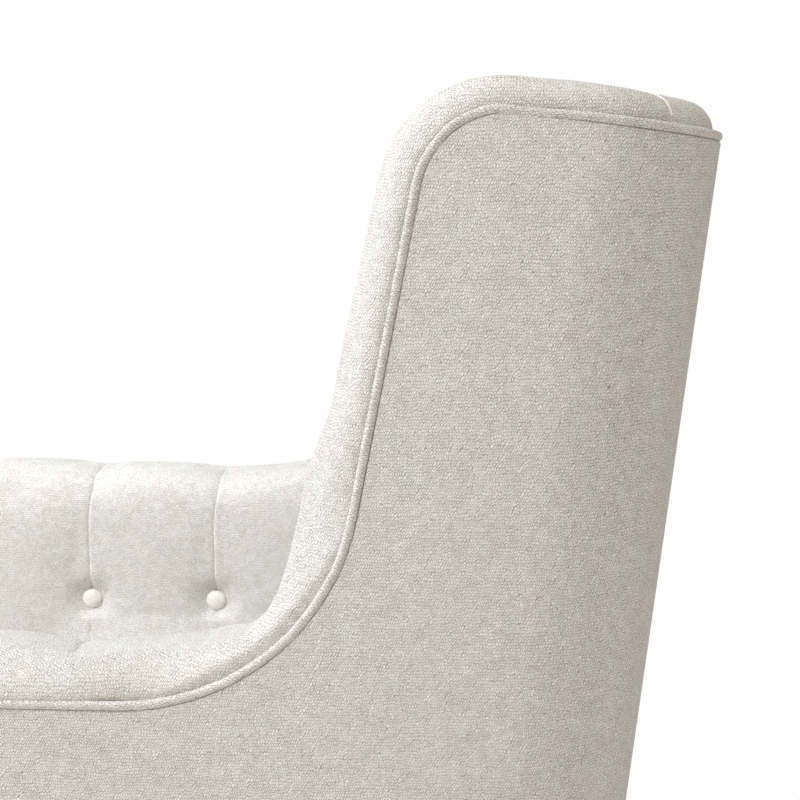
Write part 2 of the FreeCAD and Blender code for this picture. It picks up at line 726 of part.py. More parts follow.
def make_front_border():
    """Padded border below the seat cushion."""
    owner = body("FrontBorder")
    side = sketch(owner, "FrontBorderSide", "YZ_Plane")
    back = f"({front_y(UNDER_ROLL)} - {GAP})"
    front = f"({back} - Sizes.border_pad)"
    outline(side, [
        (back, FLOOR_EDGE, None),
        (front, FLOOR_EDGE, "Sizes.border_pad / 3"),
        (front, "Sizes.deck_height", "Sizes.border_pad / 2"),
        (back, "Sizes.deck_height", None),
    ])
    pad(owner, side, f"2 * ({INNER} - {GAP})", midplane=True)
    keep("front_border", owner)


def make_shell_piping():
    """The welt: up the arm fronts, over arms and wings, and round the back, as one cord."""
    x = f"({HALF} - Sizes.panel_thickness + {WELT})"
    side_path = doc.addObject("Sketcher::SketchObject", "PipingSidePath")
    side_path.Placement = Placement(Vector(value(x), 0, 0), Rotation(Vector(1, 1, 1), 120))
    bind(side_path, Placement__Base__x=x)
    end = under_top(rear_at_floor(CORNER_START), REAR_TAN, "0")
    outline(side_path, [(front_y("0"), FLOOR_EDGE, None), *shell_corners("0"), (*end, None)], closed=False)
    side_cord = sweep("PipingSide", side_path, x, front_y("0"), FLOOR_EDGE)
    corner = doc.addObject("Part::Torus", "PipingCorner")
    inset = f"(Sizes.wall_thickness - Sizes.panel_thickness + {WELT})"
    bind(corner, Radius1=inset, Radius2=WELT, Angle3="90")
    y, z = end
    slope = Rotation(Vector(-1, 0, 0), value("Sizes.top_slope"))
    place(corner, INNER, y, z, slope)
    bind(corner, Placement__Rotation__Angle="Sizes.top_slope")
    reach_y = f"({y} + {inset} * cos(Sizes.top_slope))"
    reach_z = f"({z} - {inset} * sin(Sizes.top_slope))"
    across = rod("PipingBack", f"-{INNER}", reach_y, reach_z, f"2 * {WELT}", f"2 * {INNER}", ALONG_X)
    far_side = [mirror("PipingCornerMirror", corner), mirror("PipingSideMirror", side_cord)]
    keep("shell_piping", fuse("ShellPiping", [side_cord, corner, across] + far_side))


def sweep(name, path, x, y, z):
    """A round cord along a sketched path that starts upright at a point."""
    section = doc.addObject("Part::Circle", name + "Section")
    bind(section, Radius=WELT)
    place(section, x, y, z)
    doc.recompute()
    cord = doc.addObject("Part::Sweep", name)
    cord.Sections = [section]
    cord.Spine = (path, [f"Edge{i}" for i in range(1, len(path.Shape.Edges) + 1)])
    cord.Solid = True
    cord.Frenet = False
    return cord


def cushion_outline(drawing, inset):
    """The seat cushion's plan, its sides drawn in between the corners."""
    draw = "Sizes.cushion_draw"
    side = f"({INNER} - Sizes.cushion_gap - ({inset}))"
    front = f"({FRONT} + ({inset}))"
    back = f"({inside_y('-Sizes.cushion_gap', 'Sizes.deck_height')} - ({inset}))"
    middle = f"(({front} + {back}) / 2)"
    bend = "Sizes.cushion_bend"
    corner = "Sizes.cushion_corner"
    return outline(drawing, [
        (side, front, corner), (f"({side} - {draw})", middle, bend),
        (side, back, corner), ("0", f"({back} - {draw})", bend),
        (f"-{side}", back, corner), (f"-({side} - {draw})", middle, bend),
        (f"-{side}", front, corner), ("0", f"({front} + {draw})", bend),
    ])


def make_seat_cushion():
    """Loose box cushion: crowned top, boxing that swells between the two welts."""
    bottom = f"(Sizes.deck_height + {GAP})"
    top = f"({bottom} + Sizes.cushion_thickness)"
    seam = "Sizes.cushion_seam"
    groove = f"(Sizes.piping_diameter + {GAP})"
    levels = [
        (bottom, "2 * Sizes.piping_diameter"),
        (f"({bottom} + {seam})", groove),
        (f"({bottom} + Sizes.cushion_thickness / 2)", "0"),
        (f"({top} - {seam})", groove),
        (top, "2 * Sizes.piping_diameter"),
        (f"({top} + Sizes.shoulder_rise)", "Sizes.cushion_shoulder"),
        (f"({top} + Sizes.cushion_crown)", "Sizes.cushion_plateau"),
    ]
    owner = body("SeatCushion")
    drawings = []
    for i, (z, inset) in enumerate(levels):
        drawing = sketch(owner, f"CushionLevel{i}", "XY_Plane", offset=z)
        drawings.append(cushion_outline(drawing, inset))
    loft = owner.newObject("PartDesign::AdditiveLoft", "CushionLoft")
    loft.Profile = drawings[0]
    loft.Sections = drawings[1:]
    loft.Ruled = True
    keep("seat_cushion", owner)
    cords = []
    for name, z in (("Low", levels[1][0]), ("High", levels[3][0])):
        path = doc.addObject("Sketcher::SketchObject", f"CushionCordPath{name}")
        path.Placement = Placement(Vector(0, 0, value(z)), UPRIGHT)
        bind(path, Placement__Base__z=z)
        cushion_outline(path, WELT)
        doc.recompute()
        start = path.Shape.Edges[0]
        section = doc.addObject("Part::Feature", f"CushionCordSection{name}")
        tangent = start.tangentAt(start.FirstParameter)
        ring = Part.Circle(start.valueAt(start.FirstParameter), tangent, value(WELT))
        section.Shape = Part.Wire([ring.toShape()])
        cord = doc.addObject("Part::Sweep", f"CushionCord{name}")
        cord.Sections = [section]
        cord.Spine = (path, [f"Edge{i}" for i in range(1, len(path.Shape.Edges) + 1)])
        cord.Solid = True
        cord.Frenet = False
        cords.append(cord)
    keep("cushion_piping", group("CushionPiping", cords))


def make_seat_deck():
    """Felt and cloth over the seat webbing."""
    y = (f"({front_y(UNDER_ROLL)} + {GAP})", inside_y("Sizes.back_pad", "Sizes.deck_height"))
    z = ("Sizes.deck_height - Sizes.deck_thickness", "Sizes.deck_height")
    side = f"({INNER} + Sizes.arm_pad)"
    keep("seat_deck", box("SeatDeck", (f"-{side}", side), y, z))


FRAME_IN = f"({INNER} + Sizes.arm_pad + {GAP})"
FRAME_LINE = f"({UNDER_ROLL} - {GAP})"
RAIL_FACE = f"({FRAME_IN} - {GAP})"
RAIL_FRONT = front_y(FRAME_LINE)
RAIL_BACK = f"({RAIL_FRONT} + Sizes.plywood)"
REAR_RAIL_FACE = "(-Sizes.frame_setback - Sizes.plywood)"


def make_side_frame():
    """Plywood web with a rim of solid rails, following the shell under its padding."""
    owner = body("SideFrame")
    side = sketch(owner, "SideFrameSide", "YZ_Plane", offset=FRAME_IN)
    rear = rear_at_floor("-Sizes.frame_setback")
    outline(side, [
        (front_y(FRAME_LINE), FRAME_BOTTOM, None),
        *shell_corners(FRAME_LINE),
        (*under_top(rear, REAR_TAN, FRAME_LINE), None),
        (f"({rear} + {FRAME_BOTTOM} * {REAR_TAN})", FRAME_BOTTOM, None),
    ])
    block = pad(owner, side, f"{PAD_OUT} - {FRAME_IN}")

    def rear_outer(edge):
        middle = edge.valueAt((edge.FirstParameter + edge.LastParameter) / 2)
        on_rear = abs(middle.y - value(rear) - middle.z * value(REAR_TAN)) < NEARBY
        return on_rear and on_plane(edge, "X", value(PAD_OUT))

    fillet(owner, block, "Sizes.wall_thickness - Sizes.frame_setback", rear_outer)
    recess = sketch(owner, "SideFrameRecess", "YZ_Plane", offset=PAD_OUT)
    inset = f"({FRAME_LINE} - Sizes.frame_rim)"
    back = rear_at_floor("-Sizes.wall_thickness - Sizes.frame_rim / 3")
    low = f"({FRAME_BOTTOM} + Sizes.frame_rim)"
    outline(recess, [
        (front_y(inset), low, None),
        *shell_corners(inset),
        (*under_top(back, REAR_TAN, inset), None),
        (f"({back} + {low} * {REAR_TAN})", low, None),
    ])
    owner.Tip = pocket(owner, recess, f"{PAD_OUT} - {FRAME_IN} - Sizes.frame_web")
    keep("side_frame_left", owner)
    keep("side_frame_right", mirror("SideFrameMirror", owner))


def rail_body(name, corners, half_width):
    """A rail across the chair with the given side view."""
    owner = body(name)
    side = outline(sketch(owner, name + "Side", "YZ_Plane"), [(y, z, None) for y, z in corners])
    pad(owner, side, f"2 * {half_width}", midplane=True)
    return owner


def make_frame_rails():
    """Front and rear seat rails, the rails behind the inside back and the corner blocks."""
    keep("front_rail", rail_body("FrontRail", [
        (RAIL_FRONT, FRAME_BOTTOM), (RAIL_BACK, FRAME_BOTTOM),
        (RAIL_BACK, "Sizes.rail_top"), (RAIL_FRONT, "Sizes.rail_top"),
    ], RAIL_FACE))
    keep("rear_rail", rail_body("RearRail", [
        (rear_y(REAR_RAIL_FACE, FRAME_BOTTOM), FRAME_BOTTOM),
        (rear_y("-Sizes.frame_setback", FRAME_BOTTOM), FRAME_BOTTOM),
        (rear_y("-Sizes.frame_setback", "Sizes.rail_top"), "Sizes.rail_top"),
        (rear_y(REAR_RAIL_FACE, "Sizes.rail_top"), "Sizes.rail_top"),
    ], RAIL_FACE))
    front = f"(Sizes.back_pad + Sizes.webbing_thickness + 2 * {GAP})"
    back = f"({front} + Sizes.back_rail_thickness)"
    middles = {
        "back_lumbar_rail": "Sizes.lumbar_height",
        "back_top_rail": "(Sizes.back_height - Sizes.top_rail_drop)",
    }
    for name, middle in middles.items():
        low = f"({middle} - Sizes.back_rail_height / 2)"
        high = f"({middle} + Sizes.back_rail_height / 2)"
        keep(name, rail_body(name.title().replace("_", ""), [
            (inside_y(front, low), low), (inside_y(back, low), low),
            (inside_y(back, high), high), (inside_y(front, high), high),
        ], RAIL_FACE))
    make_webbing(middles)
    make_corner_blocks()


def make_webbing(middles):
    """Elastic straps over the rails behind the inside back."""
    straps = []
    low = f"({middles['back_lumbar_rail']} - Sizes.back_rail_height / 2)"
    high = f"({middles['back_top_rail']} + Sizes.back_rail_height / 2)"
    face = f"(Sizes.back_pad + {GAP})"
    run = f"(({high} - {low}) / cos(Sizes.inside_back_lean))"
    lean = Rotation(Vector(-1, 0, 0), value("Sizes.inside_back_lean"))
    for i, place_across in enumerate(STRAPS):
        strap = doc.addObject("Part::Box", f"Strap{i}")
        bind(strap, Length="Sizes.webbing_width", Width="Sizes.webbing_thickness", Height=run)
        x = f"({place_across} * Sizes.back_tuft_pitch - Sizes.webbing_width / 2)"
        place(strap, x, inside_y(face, low), low, lean)
        straps.append(bind(strap, Placement__Rotation__Angle="Sizes.inside_back_lean"))
    keep("back_webbing", group("BackWebbing", straps))


def make_corner_blocks():
    """Glue blocks in the four corners of the seat frame."""
    blocks = []
    high = f"(Sizes.rail_top - 2 * {GAP})"
    low = f"({high} - Sizes.block_height)"
    corner_x = f"({RAIL_FACE} - {GAP})"
    faces = {
        "Front": (f"({RAIL_BACK} + {GAP})", "1"),
        "Rear": (f"({rear_y(REAR_RAIL_FACE, low)} - {GAP})", "-1"),
    }
    for name, (face, way) in faces.items():
        owner = body(f"Block{name}")
        plan = sketch(owner, f"Block{name}Plan", "XY_Plane", offset=low)
        outline(plan, [
            (corner_x, face, None),
            (f"({corner_x} - Sizes.block_leg)", face, None),
            (corner_x, f"({face} + {way} * Sizes.block_leg)", None),
        ])
        pad(owner, plan, "Sizes.block_height")
        blocks += [owner, mirror(f"Block{name}Mirror", owner)]
    keep("corner_blocks", group("CornerBlocks", blocks))


def make_seat_webbing():
    """Elastic straps over the seat rails, front to rear."""
    straps = []
    y = (RAIL_FRONT, rear_y("-Sizes.frame_setback", "Sizes.rail_top"))
    z = ("Sizes.rail_top", "(Sizes.rail_top + Sizes.webbing_thickness)")
    for i, across in enumerate(SEAT_STRAPS):
        middle = f"({across} * Sizes.seat_strap_pitch)"
        x = (f"({middle} - Sizes.seat_strap_width / 2)", f"({middle} + Sizes.seat_strap_width / 2)")
        straps.append(box(f"SeatStrap{i}", x, y, z))
    keep("seat_webbing", group("SeatWebbing", straps))


RING_TOP = "(Sizes.glide_height + Sizes.ring_tube)"
CROSS_TOP = f"({RING_TOP} + Sizes.cross_thickness)"
LOWER_RACE_TOP = f"({CROSS_TOP} + Sizes.race_thickness)"
UPPER_RACE = f"({LOWER_RACE_TOP} + Sizes.race_gap)"
CARRIAGE = f"({UPPER_RACE} + Sizes.race_thickness)"
CARRIAGE_TOP = f"({CARRIAGE} + Sizes.carriage_thickness)"
BALL_Z = f"({LOWER_RACE_TOP} + Sizes.race_gap / 2)"
PIN_HOLE = "(Sizes.swivel_pin / 2 + Sizes.running_play)"


def ring(name, radius, tube, z):
    """A torus about the swivel axis."""
    feature = doc.addObject("Part::Torus", name)
    bind(feature, Radius1=radius, Radius2=tube)
    return place(feature, z=z)


def polar(radius, index, count, start="0"):
    """The point of a bolt circle with the given index."""
    angle = f"({start} + {index} * 360 / {count})"
    return f"({radius} * cos({angle}))", f"({radius} * sin({angle}))"


def make_floor_base():
    """Floor ring on its glides, the cross welded over it and the lower race riveted to the cross."""
    tube_z = "(Sizes.glide_height + Sizes.ring_tube / 2)"
    keep("floor_ring", ring("FloorRing", "Sizes.ring_radius", "Sizes.ring_tube / 2", tube_z))
    pads = []
    for i in range(GLIDES):
        x, y = polar("Sizes.ring_radius", i, GLIDES, DIAGONAL)
        pads.append(rod(f"Glide{i}", x, y, "0", "Sizes.glide_diameter", "2 * Sizes.glide_height"))
    seat = ring("GlideSeat", "Sizes.ring_radius", "Sizes.ring_tube / 2", tube_z)
    keep("floor_glides", cut("FloorGlides", group("GlideBlanks", pads), seat))
    owner = body("BaseCross")
    plan = sketch(owner, "BaseCrossPlan", "XY_Plane", offset=RING_TOP)
    half = "(Sizes.cross_width / 2)"
    reach = "(Sizes.ring_radius + Sizes.ring_tube / 4)"
    web = "Sizes.cross_width / 2"
    outline(plan, [
        (half, half, web), (half, reach, None), (f"-{half}", reach, None), (f"-{half}", half, web),
        (f"-{reach}", half, None), (f"-{reach}", f"-{half}", None), (f"-{half}", f"-{half}", web),
        (f"-{half}", f"-{reach}", None), (half, f"-{reach}", None), (half, f"-{half}", web),
        (reach, f"-{half}", None), (reach, half, None),
    ])
    pad(owner, plan, "Sizes.cross_thickness")
    hub = sketch(owner, "BaseCrossHub", "XY_Plane", offset=RING_TOP)
    pad(owner, circle(hub, "0", "0", "Sizes.hub_diameter / 2"), "Sizes.cross_thickness")
    bore = circle(sketch(owner, "BaseCrossBore", "XY_Plane", offset=CROSS_TOP), "0", "0", PIN_HOLE)
    for i in range(RIVETS):
        circle(bore, *polar("Sizes.rivet_circle", i, RIVETS, DIAGONAL), "Sizes.rivet_diameter / 2")
    owner.Tip = pocket(owner, bore, "2 * Sizes.cross_thickness")
    keep("base_cross", owner)
    keep("swivel_lower_race", race("LowerRace", CROSS_TOP))
    keep("race_rivets", rivets("RaceRivet", RING_TOP, LOWER_RACE_TOP, head_below=True))


def race(name, z):
    """A ball race: a bored plate with a ball track on the side that faces the balls."""
    plate = rod(name + "Plate", "0", "0", z, "2 * Sizes.race_radius", "Sizes.race_thickness")
    track = ring(name + "Track", "Sizes.ball_circle", "Sizes.ball_diameter / 2 + Sizes.ball_play", BALL_Z)
    below = f"({z} - {OVERRUN})"
    through = f"Sizes.race_thickness + 2 * {OVERRUN}"
    holes = [rod(name + "Bore", "0", "0", below, f"2 * {PIN_HOLE}", through)]
    for i in range(RIVETS):
        x, y = polar("Sizes.rivet_circle", i, RIVETS, DIAGONAL)
        holes.append(rod(f"{name}Hole{i}", x, y, below, "Sizes.rivet_diameter", through))
    return cut(name, plate, group(name + "Cuts", [track] + holes))


def rivets(name, low, high, head_below):
    """Rivets that join a race to its plate, with their heads on the plate's far side."""
    made = []
    head = "(Sizes.rivet_diameter / 2)"
    ends = (head, f"2 * {head}") if head_below else (f"2 * {head}", head)
    z = f"({low} - {head})" if head_below else high
    for i in range(RIVETS):
        x, y = polar("Sizes.rivet_circle", i, RIVETS, DIAGONAL)
        shank = rod(f"{name}Shank{i}", x, y, low, "Sizes.rivet_diameter", f"{high} - {low}")
        cap = cone(f"{name}Cap{i}", x, y, z, *ends, head)
        made.append(fuse(f"{name}{i}", [shank, cap]))
    return group(name + "s", made)


def make_ball_cage():
    """Bearing balls and the ring that spaces them."""
    balls, holes = [], []
    for i in range(BALLS):
        x, y = polar("Sizes.ball_circle", i, BALLS)
        ball = doc.addObject("Part::Sphere", f"Ball{i}")
        bind(ball, Radius="Sizes.ball_diameter / 2")
        balls.append(place(ball, x, y, BALL_Z))
        holes.append(rod(f"BallHole{i}", x, y, LOWER_RACE_TOP, "Sizes.ball_diameter + 2 * Sizes.ball_play",
                         "Sizes.race_gap"))
    keep("bearing_balls", group("BearingBalls", balls))
    low = f"({BALL_Z} - Sizes.retainer_thickness / 2)"
    width = "Sizes.ball_diameter"
    thick = "Sizes.retainer_thickness"
    outer = rod("RetainerOuter", "0", "0", low, f"2 * (Sizes.ball_circle + {width})", thick)
    inner = rod("RetainerInner", "0", "0", low, f"2 * (Sizes.ball_circle - {width})", thick)
    keep("ball_retainer", cut("BallRetainer", outer, group("RetainerCuts", [inner] + holes)))


BRACKET_IN = "(Sizes.bracket_x - Sizes.steel_plate)"
LINK_IN = "(Sizes.bracket_x + Sizes.boss_length + Sizes.bush_flange + 2 * Sizes.running_play)"
LINK_OUT = f"({LINK_IN} + Sizes.link_thickness)"
BUSH_OUT = f"({LINK_OUT} + Sizes.bush_flange)"
EAR_IN = f"({LINK_OUT} + Sizes.ear_gap)"
EAR_OUT = f"({EAR_IN} + Sizes.steel_plate)"
UPPER = "Sizes.upper_pivot_height"
LOWER = "(Sizes.upper_pivot_height - Sizes.link_length)"
BRACKET_TOP = f"({UPPER} + Sizes.link_width / 2)"
RAIL_UNDER = f"({BRACKET_TOP} + Sizes.rail_clearance)"
RAIL_SEAT = f"({RAIL_UNDER} + Sizes.steel_plate)"
PIVOT_HOLE = "(Sizes.pivot_diameter / 2 + Sizes.running_play)"
PIVOT_WAYS = {"front": "-1", "rear": "1"}


def pivot_y(way):
    """The front or rear pivots along the depth."""
    return f"({way} * Sizes.pivot_half_base)"


def make_carriage():
    """What turns on the race: upper race, pin, plate, and the brackets that the links hang from."""
    keep("swivel_upper_race", race("UpperRace", UPPER_RACE))
    keep("carriage_rivets", rivets("CarriageRivet", UPPER_RACE, CARRIAGE_TOP, head_below=False))
    owner = body("CarriagePlate")
    plan = sketch(owner, "CarriagePlan", "XY_Plane", offset=CARRIAGE)
    side = "(Sizes.carriage_side / 2)"
    corner = "Sizes.carriage_corner"
    outline(plan, [(side, side, corner), (f"-{side}", side, corner),
                   (f"-{side}", f"-{side}", corner), (side, f"-{side}", corner)])
    circle(plan, "0", "0", "Sizes.swivel_pin / 2")
    for i in range(RIVETS):
        circle(plan, *polar("Sizes.rivet_circle", i, RIVETS, DIAGONAL), "Sizes.rivet_diameter / 2")
    pad(owner, plan, "Sizes.carriage_thickness")
    keep("carriage_plate", owner)
    make_swivel_pin()
    make_hanger_bracket()
    make_glide_stops()


def make_swivel_pin():
    """Headed pin on the swivel axis: fixed in the carriage plate, running in the cross and races."""
    owner = body("SwivelPin")
    half = sketch(owner, "SwivelPinHalf", "XZ_Plane")
    shank = "(Sizes.swivel_pin / 2)"
    head = "(Sizes.pin_head / 2)"
    foot = f"({RING_TOP} - Sizes.pin_head_height - {GAP})"
    outline(half, [
        ("0", foot, None), (head, foot, None), (head, f"({RING_TOP} - {GAP})", None),
        (shank, f"({RING_TOP} - {GAP})", None), (shank, CARRIAGE_TOP, None), (head, CARRIAGE_TOP, None),
        (head, f"({CARRIAGE_TOP} + Sizes.pin_head_height)", "Sizes.pin_head_height / 2"),
        ("0", f"({CARRIAGE_TOP} + Sizes.pin_head_height)", None),
    ])
    turned = owner.newObject("PartDesign::Revolution", "SwivelPinTurn")
    turned.Profile = half
    turned.ReferenceAxis = (half, ["V_Axis"])
    turned.Angle = 360
    keep("swivel_pin", owner)


def make_hanger_bracket():
    """Upright plate on the carriage, with a foot flange, a lightening hole and a boss at each upper pivot."""
    owner = body("HangerBracket")
    side = sketch(owner, "HangerSide", "YZ_Plane", offset=BRACKET_IN)
    ear = "(Sizes.link_width / 2)"
    top_y = f"(Sizes.pivot_half_base + {ear})"
    foot_y = "(Sizes.carriage_side / 2 - 2 * Sizes.steel_plate)"
    outline(side, [
        (f"-{foot_y}", CARRIAGE_TOP, None), (f"-{top_y}", BRACKET_TOP, ear),
        (top_y, BRACKET_TOP, ear), (foot_y, CARRIAGE_TOP, None),
    ])
    circle(side, "0", f"(({CARRIAGE_TOP} + {BRACKET_TOP}) / 2)", "Sizes.lightening_hole / 2")
    pad(owner, side, "Sizes.steel_plate")
    foot = sketch(owner, "HangerFoot", "XY_Plane", offset=CARRIAGE_TOP)
    reach = f"({BRACKET_IN} - Sizes.foot_flange)"
    outline(foot, [(reach, f"-{foot_y}", None), ("Sizes.bracket_x", f"-{foot_y}", None),
                   ("Sizes.bracket_x", foot_y, None), (reach, foot_y, None)])
    pad(owner, foot, "Sizes.steel_plate")
    bosses = sketch(owner, "HangerBosses", "YZ_Plane", offset="Sizes.bracket_x")
    holes = sketch(owner, "HangerHoles", "YZ_Plane", offset="2 * Sizes.bracket_x")
    for way in PIVOT_WAYS.values():
        circle(bosses, pivot_y(way), UPPER, "Sizes.boss_diameter / 2")
        circle(holes, pivot_y(way), UPPER, PIVOT_HOLE)
    pad(owner, bosses, "Sizes.boss_length")
    owner.Tip = pocket(owner, holes, "2 * Sizes.bracket_x")
    keep("hanger_bracket_left", owner)
    keep("hanger_bracket_right", mirror("HangerBracketMirror", owner))


def make_glide_stops():
    """Rubber pegs on the brackets that a link meets at the end of its swing."""
    pegs = []
    along = "Sizes.stop_reach"
    aside = f"(Sizes.link_width / 2 + Sizes.stop_diameter / 2 + {GAP})"
    swing = "Sizes.glide_angle"
    for way in PIVOT_WAYS.values():
        y = f"({pivot_y(way)} - {way} * ({along} * sin({swing}) + {aside} * cos({swing})))"
        z = f"({UPPER} - {along} * cos({swing}) + {aside} * sin({swing}))"
        peg = rod(f"Stop{way}", "Sizes.bracket_x", y, z, "Sizes.stop_diameter",
                  "Sizes.boss_length + Sizes.bush_flange + Sizes.link_thickness", ALONG_X)
        pegs += [peg, mirror(f"Stop{way}Mirror", peg)]
    keep("glide_stops", group("GlideStops", pegs))


def hexagon(name, x, y, z, across, length):
    """A hexagonal bar along X, across its flats."""
    bar = doc.addObject("Part::Prism", name)
    bar.Polygon = 6
    bind(bar, Circumradius=f"({across}) / sqrt(3)", Height=length)
    return place(bar, x, y, z, ALONG_X)


def make_pivots():
    """Bolts and nuts of the upper pivots on the brackets and of the lower pivots on the seat rail ears."""
    sets = {"upper_pivot_bolts": [], "upper_pivot_nuts": [], "lower_pivot_bolts": [], "lower_pivot_nuts": []}
    shank = "Sizes.pivot_diameter"
    head = "Sizes.bolt_head"
    bush_in = f"({LINK_IN} - Sizes.bush_flange)"
    for name, way in PIVOT_WAYS.items():
        y = pivot_y(way)
        nut = "Sizes.nut_height"
        upper_end = f"({BUSH_OUT} + {GAP})"
        upper_start = f"({BRACKET_IN} - {nut} - 2 * {GAP})"
        lower_start = f"({bush_in} - {GAP})"
        lower_end = f"({EAR_OUT} + {nut} + 2 * {GAP})"
        bolt = fuse(f"UpperBolt{name}", [
            rod(f"UpperShank{name}", upper_start, y, UPPER, shank, f"{upper_end} - {upper_start}", ALONG_X),
            hexagon(f"UpperHead{name}", upper_end, y, UPPER, head, "Sizes.bolt_head_height"),
        ])
        sets["upper_pivot_bolts"].append(bolt)
        low = fuse(f"LowerBolt{name}", [
            rod(f"LowerShank{name}", lower_start, y, LOWER, shank, f"{lower_end} - {lower_start}", ALONG_X),
            hexagon(f"LowerHead{name}", f"({lower_start} - Sizes.bolt_head_height)", y, LOWER, head,
                    "Sizes.bolt_head_height"),
        ])
        sets["lower_pivot_bolts"].append(low)
        for kind, start, z in (("Upper", f"({BRACKET_IN} - {nut})", UPPER), ("Lower", EAR_OUT, LOWER)):
            blank = hexagon(f"{kind}NutBlank{name}", start, y, z, head, nut)
            before = f"({start} - {OVERRUN})"
            bore = rod(f"{kind}NutBore{name}", before, y, z, shank, f"{nut} + 2 * {OVERRUN}", ALONG_X)
            sets[f"{kind.lower()}_pivot_nuts"].append(cut(f"{kind}Nut{name}", blank, bore))
    for label, members in sets.items():
        both = members + [mirror(m.Name + "Mirror", m) for m in members]
        keep(label, group(label.title().replace("_", ""), both))


def make_links():
    """Four swing links, each with a pair of flanged bushes at either end."""
    for end, way in PIVOT_WAYS.items():
        owner = body(f"Link{end}")
        side = sketch(owner, f"Link{end}Side", "YZ_Plane", offset=LINK_IN)
        half = "(Sizes.link_width / 2)"
        y = pivot_y(way)
        top = f"({UPPER} + {half})"
        low = f"({LOWER} - {half})"
        bend = f"{half} - 2 * {GAP}"
        outline(side, [(f"({y} - {half})", top, bend), (f"({y} + {half})", top, bend),
                       (f"({y} + {half})", low, bend), (f"({y} - {half})", low, bend)])
        hole = "(Sizes.pivot_diameter / 2 + Sizes.bush_wall + Sizes.running_play)"
        circle(side, y, UPPER, hole)
        circle(side, y, LOWER, hole)
        pad(owner, side, "Sizes.link_thickness")
        bushes = [bush(f"Bush{end}{k}", y, z, outer) for k, (z, outer) in enumerate(
            [(UPPER, False), (UPPER, True), (LOWER, False), (LOWER, True)])]
        pair = group(f"Bushes{end}", bushes)
        keep(f"glide_link_{end}_left", owner)
        keep(f"glide_link_{end}_right", mirror(f"Link{end}Mirror", owner))
        keep(f"link_bushes_{end}_left", pair)
        keep(f"link_bushes_{end}_right", mirror(f"Bushes{end}Mirror", pair))


def bush(name, y, z, outer):
    """A flanged bush: its sleeve fills half of the link, its flange lies on the link's face."""
    half = "(Sizes.link_thickness / 2)"
    sleeve_x = f"({LINK_IN} + {half})" if outer else LINK_IN
    flange_x = LINK_OUT if outer else f"({LINK_IN} - Sizes.bush_flange)"
    wall = "(Sizes.pivot_diameter + 2 * Sizes.bush_wall)"
    blank = fuse(name + "Blank", [
        rod(name + "Sleeve", sleeve_x, y, z, wall, half, ALONG_X),
        rod(name + "Flange", flange_x, y, z, "Sizes.bush_flange_diameter", "Sizes.bush_flange", ALONG_X),
    ])
    bore = rod(name + "Bore", f"({LINK_IN} - 2 * Sizes.bush_flange)", y, z, f"2 * {PIVOT_HOLE}",
               "Sizes.link_thickness + 4 * Sizes.bush_flange", ALONG_X)
    return cut(name, blank, bore)


def make_seat_mechanism():
    """Seat rails under the wooden mounting rails, their ears at the lower pivots, and their screws."""
    owner = body("SeatRail")
    section = sketch(owner, "SeatRailSection", "XZ_Plane")
    wide = f"({EAR_IN} + Sizes.rail_flange)"
    lip = f"({RAIL_UNDER} - Sizes.rail_lip)"
    outer = f"({wide} - Sizes.steel_plate)"
    outline(section, [
        (EAR_IN, RAIL_UNDER, None), (outer, RAIL_UNDER, None), (outer, lip, None), (wide, lip, None),
        (wide, RAIL_SEAT, "Sizes.steel_plate / 2"), (EAR_IN, RAIL_SEAT, None),
    ])
    pad(owner, section, "Sizes.rail_length", midplane=True)
    holes = sketch(owner, "SeatRailHoles", "XY_Plane", offset=f"({RAIL_SEAT} + {OVERRUN})")
    screw_x = f"({EAR_IN} + Sizes.rail_flange / 2)"
    screw_ys = [f"({way} * (Sizes.rail_length / 2 - Sizes.screw_inset))" for way in PIVOT_WAYS.values()]
    for y in screw_ys:
        circle(holes, screw_x, y, f"Sizes.screw_diameter / 2 + {GAP}")
    owner.Tip = pocket(owner, holes, "2 * Sizes.steel_plate")
    keep("seat_rail_left", owner)
    keep("seat_rail_right", mirror("SeatRailMirror", owner))
    make_rail_ears()
    make_mounting_rails(screw_x, screw_ys)


def make_rail_ears():
    """Plates that hang from the seat rails to the lower pivots, with a boss towards the link."""
    ears = []
    for end, way in PIVOT_WAYS.items():
        owner = body(f"Ear{end}")
        side = sketch(owner, f"Ear{end}Side", "YZ_Plane", offset=EAR_IN)
        half = "(Sizes.ear_width / 2)"
        y = pivot_y(way)
        low = f"({LOWER} - Sizes.boss_diameter / 2 - Sizes.steel_plate)"
        tip = "(Sizes.boss_diameter / 2 + Sizes.steel_plate)"
        bend = f"{tip} - {GAP}"
        outline(side, [(f"({y} - {half})", RAIL_UNDER, None), (f"({y} - {tip})", low, bend),
                       (f"({y} + {tip})", low, bend), (f"({y} + {half})", RAIL_UNDER, None)])
        pad(owner, side, "Sizes.steel_plate")
        boss_from = f"({BUSH_OUT} + {GAP})"
        boss = sketch(owner, f"Ear{end}Boss", "YZ_Plane", offset=boss_from)
        pad(owner, circle(boss, y, LOWER, "Sizes.boss_diameter / 2"), f"{EAR_IN} - {boss_from}")
        hole = circle(sketch(owner, f"Ear{end}Hole", "YZ_Plane", offset=f"2 * {EAR_OUT}"), y, LOWER,
                      "Sizes.pivot_diameter / 2")
        owner.Tip = pocket(owner, hole, f"2 * {EAR_OUT}")
        ears += [owner, mirror(f"Ear{end}Mirror", owner)]
    keep("rail_ears", group("RailEars", ears))


